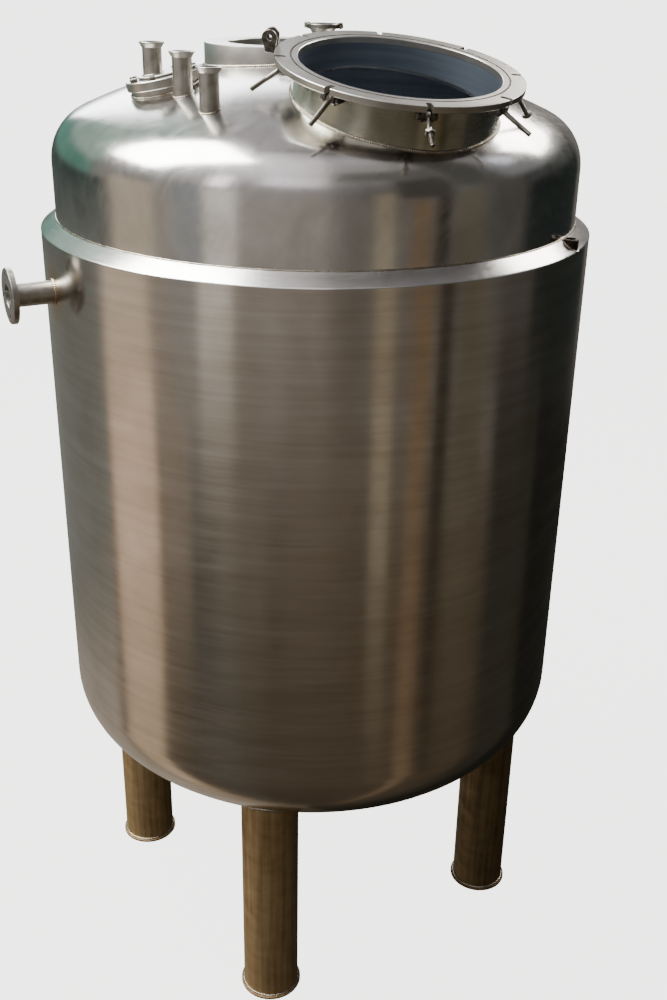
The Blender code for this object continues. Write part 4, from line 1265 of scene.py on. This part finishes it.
for joint in frame["joints"]:
    name = joint["name"].replace("swing_", "", 1)
    body = joint["child"]
    pin_axis = Vector(joint["axis"])
    pivot = Vector(joint["pos_m"])
    sideways = lug_frame(joint) @ Matrix.Rotation(math.pi / 2, 4, "X")
    face = EAR_GAP / 2 + EAR_THICKNESS
    for side, low in (("left", -face), ("right", EAR_GAP / 2)):
        ear = piece("ear_%s_%s" % (name, side), plate(ear_outline(), low, low + EAR_THICKNESS), PLATE_STEEL,
                    sideways, ("lug_" + name,))
        combine(ear, [drill(PIN_RADIUS + DRILL_EASE, low - 0.001, low + EAR_THICKNESS + 0.001, sideways, 24)])
        soften(ear, EAR_FILING)
    end = face + PIN_HEAD_LENGTH
    profile = [(0.0, -end), (PIN_HEAD - PIN_EDGE, -end), (PIN_HEAD, -end + PIN_EDGE), (PIN_HEAD, -face - GAP),
               (PIN_RADIUS, -face - GAP), (PIN_RADIUS, face + GAP), (PIN_HEAD, face + GAP),
               (PIN_HEAD, end - PIN_EDGE), (PIN_HEAD - PIN_EDGE, end), (0.0, end)]
    piece("pin_" + name, turned(profile, 32), PLATE_STEEL, sideways, slot="lug_" + name)
    rest = Matrix.Rotation(math.radians(-joint["range_deg"][1]), 4, pin_axis)
    along = (rest.to_3x3() @ manhole_up).normalized()
    rod_place = frame_matrix(pivot, pin_axis, along.cross(pin_axis), along)
    eye_place = frame_matrix(pivot, along, pin_axis.cross(along), pin_axis)
    half = EYE_WIDTH / 2
    profile = [(EYE_RADIUS, -half + EYE_EDGE), (EYE_RADIUS, half - EYE_EDGE), (EYE_RADIUS - EYE_EDGE, half),
               (EYE_BORE + EYE_BORE_EDGE, half), (EYE_BORE, half - EYE_BORE_EDGE),
               (EYE_BORE, -half + EYE_BORE_EDGE), (EYE_BORE + EYE_BORE_EDGE, -half),
               (EYE_RADIUS - EYE_EDGE, -half)]
    bolt = piece("swing_eye_bolt_" + name, turned(profile, 32), BAR_STEEL, eye_place,
                 ("swing_bolt_" + name,), body)
    shank = mesh_object("shank", threaded(BOLT_RADIUS, EYE_RADIUS * 0.75, BOLT_LENGTH), rod_place)
    combine(bolt, [shank], "UNION", 40)
    if name in NUTS:
        low = NUTS[name] - NUT_THICKNESS / 2
        piece("swing_hex_nut_" + name, hexagon(NUT_FLATS, low, low + NUT_THICKNESS, BOLT_RADIUS + DRILL_EASE),
              BAR_STEEL, rod_place, ("swing_nut_" + name,), body, sharp=25)

# %% [markdown]
# ## The lid's hinge
# Two eyes on the flange's rim carried the hinge pin of a lid that has been lifted off. Each is a plate with
# a round end and a drilled hole, rounded at its edges.

# %% Hinge eyes
HINGE_TURN = math.radians(169.0)
HINGE_RADIUS = 0.251
HINGE_RISE = 0.0145
HINGE_EYE = 0.0145
HINGE_ARM = 0.005
HINGE_BORE = 0.0055
HINGE_PLATE = 0.008
HINGE_GAP = 0.014


def rim_frame(outward, radius, height):
    """A frame on the manhole flange: X outward, Y along the rim, Z off its face."""
    outward = (outward - manhole_up * outward.dot(manhole_up)).normalized()
    origin = MANHOLE_TOP + outward * radius + manhole_up * height
    return frame_matrix(origin, outward, manhole_up.cross(outward), manhole_up)


hinge = rim_frame(direction(HINGE_TURN), HINGE_RADIUS, HINGE_RISE) @ Matrix.Rotation(math.pi / 2, 4, "X")
root = FLANGE_RADIUS + GAP - HINGE_RADIUS
outline = [(root, -HINGE_RISE - FLANGE_THICKNESS), (HINGE_ARM, -HINGE_RISE - FLANGE_THICKNESS)]
for step in range(29):
    angle = -math.pi / 6 + math.pi * 7 / 6 * step / 28
    outline.append((HINGE_EYE * math.cos(angle), HINGE_EYE * math.sin(angle)))
outline.append((root, -HINGE_RISE + GAP))
for side, name in ((-1, "front"), (1, "back")):
    place = hinge @ Matrix.Translation((0.0, 0.0, -side * (HINGE_GAP + HINGE_PLATE) / 2))
    eye_data = plate(outline, -HINGE_PLATE / 2, HINGE_PLATE / 2)
    eye_data.transform(place)
    eye = piece("hinge_eye_" + name, eye_data, PLATE_STEEL, stands_for=("lid_hinge_eye_" + name,))
    combine(eye, [drill(HINGE_BORE, -HINGE_PLATE, HINGE_PLATE, place, 32)])
    soften(eye, 0.001)
print("hinge eyes:", round(1000 * (HINGE_GAP + HINGE_PLATE)), "mm apart, middle to middle")

# %% [markdown]
# ## Roof fittings
# A wide collar carries the stirrer's drive, and small pipes end in clamp ferrules: a pipe that flares to a
# thin lip. Each foot follows the roof, and a bead closes the corner.

# %% Collar and nozzles
LIP_HEIGHT = 0.0028
LIP_TOP_EDGE = 0.0008
LIP_FOOT_EDGE = 0.0006
FLARE_HEIGHT = 0.0110
SEAL_GROOVE = ((0.0004, 0.0), (0.0004, 0.0006), (0.0020, 0.0010), (0.0034, 0.0004), (0.0038, 0.0))


def ferrule(radius, wall, lip, foot):
    """A clamp ferrule's section from its bore to its foot; its face, with a seal groove, is at height 0."""
    inner = radius - wall
    face = [(radius + out, -depth) for out, depth in SEAL_GROOVE]
    return [(inner, 0.0), *face, (lip - LIP_TOP_EDGE, 0.0), (lip, -LIP_TOP_EDGE),
            (lip, -LIP_HEIGHT + LIP_FOOT_EDGE), (lip - LIP_FOOT_EDGE, -LIP_HEIGHT),
            (radius + 0.0012, -FLARE_HEIGHT + 0.0010), (radius, -FLARE_HEIGHT), (radius, foot), (inner, foot)]


def centre_of(name):
    """A round piece of the frame: the x and y of its axis, its radius and its top."""
    low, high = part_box(name)
    return (low.x + high.x) / 2, (low.y + high.y) / 2, (high.x - low.x) / 2, high.z


COLLAR_BORE = 0.110
COLLAR_EDGE = 0.0015
x, y, collar_radius, collar_top = centre_of("agitator_collar")
place = Matrix.Translation((x, y, collar_top))
collar_foot = foot_on(roof_distance, place, -0.20, 0.10)
profile = [(collar_radius, collar_foot), (collar_radius, -COLLAR_EDGE),
           (collar_radius - COLLAR_EDGE / 3, -COLLAR_EDGE / 3), (collar_radius - COLLAR_EDGE, 0.0),
           (COLLAR_BORE + COLLAR_EDGE, 0.0), (COLLAR_BORE, -COLLAR_EDGE), (COLLAR_BORE, collar_foot)]
piece("stirrer_collar", turned(profile, 192), FACE_STEEL, place, ("agitator_collar",))
weld("weld_collar_foot", place, collar_radius, collar_foot, "agitator_collar", width=0.0036, out=0.0008,
     steps=960)

TUBE_RADIUS = 0.01905
TUBE_WALL = 0.00165
BACK_TUBE_RADIUS = 0.0254
for name, radius in (("middle", TUBE_RADIUS), ("right", TUBE_RADIUS), ("back", BACK_TUBE_RADIUS)):
    x, y, lip, top = centre_of("nozzle_" + name)
    place = Matrix.Translation((x, y, top))
    foot = foot_on(roof_distance, place, -0.25, 0.0)
    piece("ferrule_pipe_" + name, turned(ferrule(radius, TUBE_WALL, lip, foot), 72), PIPE_STEEL, place,
          ("nozzle_" + name,))
    weld("weld_nozzle_" + name, place, radius, foot, "nozzle_" + name, width=0.0024, out=0.0006)
    print(name, "pipe:", round(2000 * radius, 1), "mm across, lip", round(2000 * lip, 1), "mm")

# %% [markdown]
# ## The bolted cover
# Beside the collar sits a thick seat with a thin cover on a rubber gasket, held by small bolts. The left
# pipe stands on it upright, though the cover lies along the slope.

# %% Seat, gasket, cover and bolts
SEAT_TILT = math.radians(12.3)
SEAT_TILT_TOWARDS = math.radians(-170.8)
SEAT_X = -0.302 + TANK_X
SEAT_Y = -0.168
SEAT_RISE = 0.0213
SEAT_RADIUS = 0.078
SEAT_THICKNESS = 0.018
SEAT_NECK_RADIUS = 0.070
SEAT_BORE = 0.045
GASKET_RADIUS = 0.0505
GASKET_THICKNESS = 0.0012
COVER_RADIUS = 0.052
COVER_THICKNESS = 0.0035
COVER_FOOT_EDGE = 0.0006
COVER_TOP_EDGE = 0.0007
SEAT_EDGE = 0.0012
SEAT_BOLTS = 8
SEAT_BOLT_CIRCLE = 0.0655
SEAT_BOLT_FLATS = 0.013
SEAT_BOLT_TOP = 0.0065
WASHER_RADIUS = 0.0080
WASHER_BORE = 0.0043
WASHER_THICKNESS = 0.0012

seat_axis = direction(SEAT_TILT_TOWARDS, SEAT_TILT)
crown_z = VESSEL_TOP - crown_centre(VESSEL_RADIUS, TOP_CROWN, TOP_KNUCKLE)
crown_height = math.sqrt(TOP_CROWN ** 2 - (SEAT_X - TANK_X) ** 2 - SEAT_Y ** 2)
on_roof = Vector((SEAT_X, SEAT_Y, crown_z + crown_height))
SEAT = axis_matrix(on_roof + seat_axis * SEAT_RISE, seat_axis)
seat_foot = foot_on(roof_distance, SEAT, -0.12, 0.02)
profile = [(SEAT_RADIUS, -SEAT_THICKNESS + SEAT_EDGE), (SEAT_RADIUS, -SEAT_EDGE),
           (SEAT_RADIUS - SEAT_EDGE, 0.0), (SEAT_BORE, 0.0), (SEAT_BORE, seat_foot),
           (SEAT_NECK_RADIUS, seat_foot), (SEAT_NECK_RADIUS, -SEAT_THICKNESS),
           (SEAT_RADIUS - SEAT_EDGE, -SEAT_THICKNESS)]
piece("cover_seat_ring", turned(profile, 120), FACE_STEEL, SEAT, ("cover_seat",))
weld("weld_seat_foot", SEAT, SEAT_NECK_RADIUS, seat_foot, "cover_seat", width=0.0032, out=0.0008)
cover_low = GASKET_THICKNESS + GAP
cover_top = cover_low + COVER_THICKNESS
profile = [(0.0, cover_low), (COVER_RADIUS - COVER_FOOT_EDGE, cover_low),
           (COVER_RADIUS, cover_low + COVER_FOOT_EDGE), (COVER_RADIUS, cover_top - COVER_TOP_EDGE),
           (COVER_RADIUS - COVER_TOP_EDGE, cover_top), (0.0, cover_top)]
piece("cover_plate_disc", turned(profile, 96), FACE_STEEL, SEAT, ("cover_plate",))
x, y, lip, top = centre_of("nozzle_left")
place = Matrix.Translation((x, y, top))


def cover_distance(point):
    """How far a point lies over the cover's top."""
    return (point - SEAT.translation).dot(seat_axis) - cover_top


foot = foot_on(cover_distance, place, -0.12, 0.0)
piece("ferrule_pipe_left", turned(ferrule(TUBE_RADIUS, TUBE_WALL, lip, foot), 72), PIPE_STEEL, place,
      ("nozzle_left",))
weld("weld_nozzle_left", place, TUBE_RADIUS, foot, "nozzle_left", width=0.0022, out=0.0006)
for index in range(SEAT_BOLTS):
    spot = SEAT @ Matrix.Rotation(2 * math.pi * (index + 0.5) / SEAT_BOLTS, 4, "Z")
    spot = spot @ Matrix.Translation((SEAT_BOLT_CIRCLE, 0.0, 0.0))
    washer = ring(WASHER_RADIUS, WASHER_BORE, 0.0, WASHER_THICKNESS)
    piece("seat_washer_%d" % index, turned(washer, 32), BAR_STEEL, spot, slot="cover_seat")
    piece("seat_bolt_%d" % index, hexagon(SEAT_BOLT_FLATS, WASHER_THICKNESS, SEAT_BOLT_TOP), BAR_STEEL, spot,
          slot="cover_seat", sharp=25)
print("cover seat:", SEAT_BOLTS, "bolts on a circle of", round(2000 * SEAT_BOLT_CIRCLE), "mm")

# %% [markdown]
# ## Jacket fittings
# On the left a short flanged pipe leads into the jacket, and a threaded socket stands on the shoulder ring.
# Under the floor the vessel's outlet ends in another ferrule.

# %% Side pipe and its flange
SIDE_TURN = math.radians(-154.8)
SIDE_HEIGHT = 1.6905
SIDE_REACH = 0.0927
SIDE_RADIUS = 0.02415
SIDE_WALL = 0.003
SIDE_FLANGE = 0.0575
SIDE_THICKNESS = 0.012
SIDE_BOLT_CIRCLE = 0.0425
SIDE_BOLT_HOLE = 0.006
SIDE_BOLT_TURN = math.radians(11.0)
SIDE_BOLTS = 4
SIDE_FACE_EDGE = 0.0012
SIDE_BACK_EDGE = 0.0008
SIDE_PIPE_SETBACK = 0.002
SIDE = axis_matrix((TANK_X, 0.0, SIDE_HEIGHT), direction(SIDE_TURN))
face = JACKET_RADIUS + SIDE_REACH


def jacket_distance(point):
    """How far a point lies outside the jacket's wall."""
    return from_tank_axis(point) - JACKET_RADIUS


side_foot = foot_on(jacket_distance, SIDE, 0.50, 0.66)
pipe_end = face - SIDE_PIPE_SETBACK
profile = [(SIDE_RADIUS, side_foot), (SIDE_RADIUS, pipe_end), (SIDE_RADIUS - SIDE_WALL, pipe_end),
           (SIDE_RADIUS - SIDE_WALL, side_foot)]
piece("side_pipe_tube", turned(profile, 72), PIPE_STEEL, SIDE, ("side_pipe",))
profile = [(SIDE_FLANGE, face - SIDE_THICKNESS + SIDE_BACK_EDGE), (SIDE_FLANGE, face - SIDE_FACE_EDGE),
           (SIDE_FLANGE - SIDE_FACE_EDGE, face), (SIDE_RADIUS + GAP, face),
           (SIDE_RADIUS + GAP, face - SIDE_THICKNESS), (SIDE_FLANGE - SIDE_BACK_EDGE, face - SIDE_THICKNESS)]
side_flange = piece("side_pipe_flange", turned(profile, 96), PIPE_STEEL, SIDE, ("side_flange",))
holes = []
for index in range(SIDE_BOLTS):
    spot = Matrix.Rotation(SIDE_BOLT_TURN + index * 2 * math.pi / SIDE_BOLTS, 4, "Z")
    spot = spot @ Matrix.Translation((SIDE_BOLT_CIRCLE, 0, 0))
    holes.append(drill(SIDE_BOLT_HOLE, face - 0.03, face + 0.02, SIDE @ spot, 32))
combine(side_flange, holes)
combine(jacket, [drill(SIDE_RADIUS - SIDE_WALL, 0.55, 0.65, SIDE, 48)])
weld("weld_side_pipe", SIDE, SIDE_RADIUS, side_foot, "side_pipe", width=0.0034, out=0.0008)
weld("weld_side_flange", SIDE, SIDE_RADIUS, face - SIDE_THICKNESS, "side_flange", width=0.0028, out=0.0006)
print("side flange:", SIDE_BOLTS, "holes, face", round(1000 * face), "mm from the tank's axis")

# %% [markdown]
# The socket's foot is cut to the shoulder ring's slope, which falls evenly from the vessel to the jacket's
# edge. The outlet hangs upside down, so its place is turned over.

# %% Socket and outlet
SOCKET_BORE = 0.0105
SOCKET_EDGE = 0.0015
SOCKET_BORE_EDGE = 0.001
x, y, socket_radius, socket_top = centre_of("ring_socket")
place = Matrix.Translation((x, y, socket_top))


def shoulder_distance(point):
    """How far a point lies over the shoulder ring's slope."""
    share = (JACKET_RADIUS - from_tank_axis(point)) / JACKET_SPACE
    return point.z - JACKET_TOP - (ring_top - JACKET_TOP) * min(1.0, max(0.0, share))


socket_foot = foot_on(shoulder_distance, place, -0.06, 0.0)
profile = [(socket_radius, socket_foot), (socket_radius, -SOCKET_EDGE), (socket_radius - SOCKET_EDGE, 0.0),
           (SOCKET_BORE + SOCKET_BORE_EDGE, 0.0), (SOCKET_BORE, -SOCKET_BORE_EDGE),
           (SOCKET_BORE, socket_foot)]
piece("threaded_socket", turned(profile, 64), DARK_STEEL, place, ("ring_socket",))
weld("weld_socket", place, socket_radius, socket_foot, "ring_socket", width=0.0026, out=0.0004)

low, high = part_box("bottom_outlet")
place = Matrix.Translation((TANK_X, 0.0, low.z)) @ Matrix.Rotation(math.pi, 4, "X")
profile = ferrule(OUTLET_RADIUS, OUTLET_WALL, (high.x - low.x) / 2, low.z - high.z)
piece("outlet_ferrule", turned(profile, 72), PIPE_STEEL, place, ("bottom_outlet",))
floor_low = dish(JACKET_RADIUS, JACKET_CROWN, JACKET_KNUCKLE, JACKET_FOOT, -1)[0][1]
weld("weld_outlet", AXIS, OUTLET_RADIUS, floor_low, "bottom_outlet", width=0.0030, out=0.0008)
print("outlet's face:", round(1000 * low.z), "mm over the floor")

# %% [markdown]
# ## The capped pipe at the back
# The back pipe is closed with a cap, and a hinged clamp goes round the two: a band with sloping edges.

# %% Cap and clamp
CAP_RIM = 0.003
CAP_SLOPE = 0.004
CAP_LIP = 0.010
CAP_DISH = 0.013
CAP_DISH_DEPTH = 0.0015
BAND_EDGE = 0.001
BAND_EDGE_HEIGHT = 0.0015
x, y, clamp_radius, clamp_top = centre_of("nozzle_back_clamp")
cap_low, cap_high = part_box("nozzle_back_cap")
cap_radius = (cap_high.x - cap_low.x) / 2
place = Matrix.Translation((x, y, 0.0))
profile = [(0.0, cap_low.z), (cap_radius, cap_low.z), (cap_radius, cap_low.z + CAP_RIM),
           (cap_radius - CAP_SLOPE, cap_high.z), (cap_radius - CAP_LIP, cap_high.z),
           (cap_radius - CAP_DISH, cap_high.z - CAP_DISH_DEPTH), (0.0, cap_high.z - CAP_DISH_DEPTH)]
piece("back_cap", turned(profile, 72), PIPE_STEEL, place, ("nozzle_back_cap",))
clamp_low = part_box("nozzle_back_clamp")[0].z
profile = [(clamp_radius - BAND_EDGE, clamp_low), (clamp_radius, clamp_low + BAND_EDGE_HEIGHT),
           (clamp_radius, clamp_top - BAND_EDGE_HEIGHT), (clamp_radius - BAND_EDGE, clamp_top),
           (cap_radius + GAP, clamp_top), (cap_radius + GAP, clamp_low)]
piece("back_clamp_band", turned(profile, 96), CLAMP_STEEL, place, ("nozzle_back_clamp",))
print("cap and band:", round(2000 * cap_radius, 1), "and", round(2000 * clamp_radius, 1), "mm across")

# %% [markdown]
# The band's two halves turn on a small hinge at one end and are drawn together by a bolt and a nut at the
# other. Both ends are short ears that stand out from the band.

# %% Clamp ears, bolt and nut
CLAMP_EAR_REACH = 0.010
CLAMP_EAR_HALF = 0.0055
CLAMP_BOLT_RADIUS = 0.003
CLAMP_BOLT_HALF = 0.014
CLAMP_NUT_FLATS = 0.012
CLAMP_NUT_THICKNESS = 0.007
CLAMP_EAR_ROOT = 0.0015
CLAMP_EAR_PROUD = 0.002
CLAMP_EAR_ROUNDING = 0.0015
clamp_middle = (clamp_low + clamp_top) / 2
half_height = (clamp_top - clamp_low) / 2
for name, turn_at in (("bolt_side", 0.0), ("hinge_side", 150.0)):
    spot = Matrix.Translation((x, y, clamp_middle)) @ Matrix.Rotation(math.radians(turn_at), 4, "Z")
    reach = clamp_radius + CLAMP_EAR_REACH
    root = clamp_radius - CLAMP_EAR_ROOT
    outline = [(root, -CLAMP_EAR_HALF), (reach, -CLAMP_EAR_HALF), (reach, CLAMP_EAR_HALF),
               (root, CLAMP_EAR_HALF)]
    ear = piece("clamp_ear_" + name, plate(outline, -half_height, half_height + CLAMP_EAR_PROUD), CLAMP_STEEL,
                spot, slot="nozzle_back_clamp")
    soften(ear, CLAMP_EAR_ROUNDING, 3)
bolt_place = Matrix.Translation((x + clamp_radius + CLAMP_EAR_REACH / 2, y, clamp_middle))
bolt_place = bolt_place @ Matrix.Rotation(math.pi / 2, 4, "X")
piece("clamp_bolt", turned(rod(CLAMP_BOLT_RADIUS, -CLAMP_BOLT_HALF, CLAMP_BOLT_HALF), 24), BAR_STEEL,
      bolt_place, slot="nozzle_back_clamp")
clamp_nut = hexagon(CLAMP_NUT_FLATS, CLAMP_EAR_HALF, CLAMP_EAR_HALF + CLAMP_NUT_THICKNESS, CLAMP_BOLT_RADIUS)
piece("clamp_nut", clamp_nut, DARK_STEEL, bolt_place, slot="nozzle_back_clamp", sharp=25)
print("clamp:", round(2000 * half_height), "mm high, two ears, a bolt and a nut")

# %% [markdown]
# ## Holes in the roof
# The roof's openings are cut last, with the bores that the fittings leave free. Then the small cover's
# gasket goes in round its opening.

# %% Cut the roof
UPRIGHT_CUT = (1.95, 2.30)
TUBE_BORE = TUBE_RADIUS - TUBE_WALL
tools = [drill(NECK_RADIUS - NECK_WALL, -0.25, 0.25, MANHOLE, 192), drill(SEAT_BORE, -0.15, 0.15, SEAT, 96)]
for name, radius in (("agitator_collar", COLLAR_BORE), ("nozzle_middle", TUBE_BORE),
                     ("nozzle_right", TUBE_BORE), ("nozzle_back", BACK_TUBE_RADIUS - TUBE_WALL)):
    x, y, _, _ = centre_of(name)
    tools.append(drill(radius, *UPRIGHT_CUT, Matrix.Translation((x, y, 0.0)), 96))
combine(roof, tools)
gasket = ring(GASKET_RADIUS, SEAT_BORE, GAP, GASKET_THICKNESS)
piece("gasket_ring", turned(gasket, 96), GASKET_RUBBER, SEAT, ("cover_gasket",))
print("roof cut with", len(tools), "tools")

# %% [markdown]
# ## Sizes
# The tank's box after the dressing is measured and printed.

# %% Print the sizes
low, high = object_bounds()
print("visual box, mm:", [round(1000 * side, 1) for side in high - low])
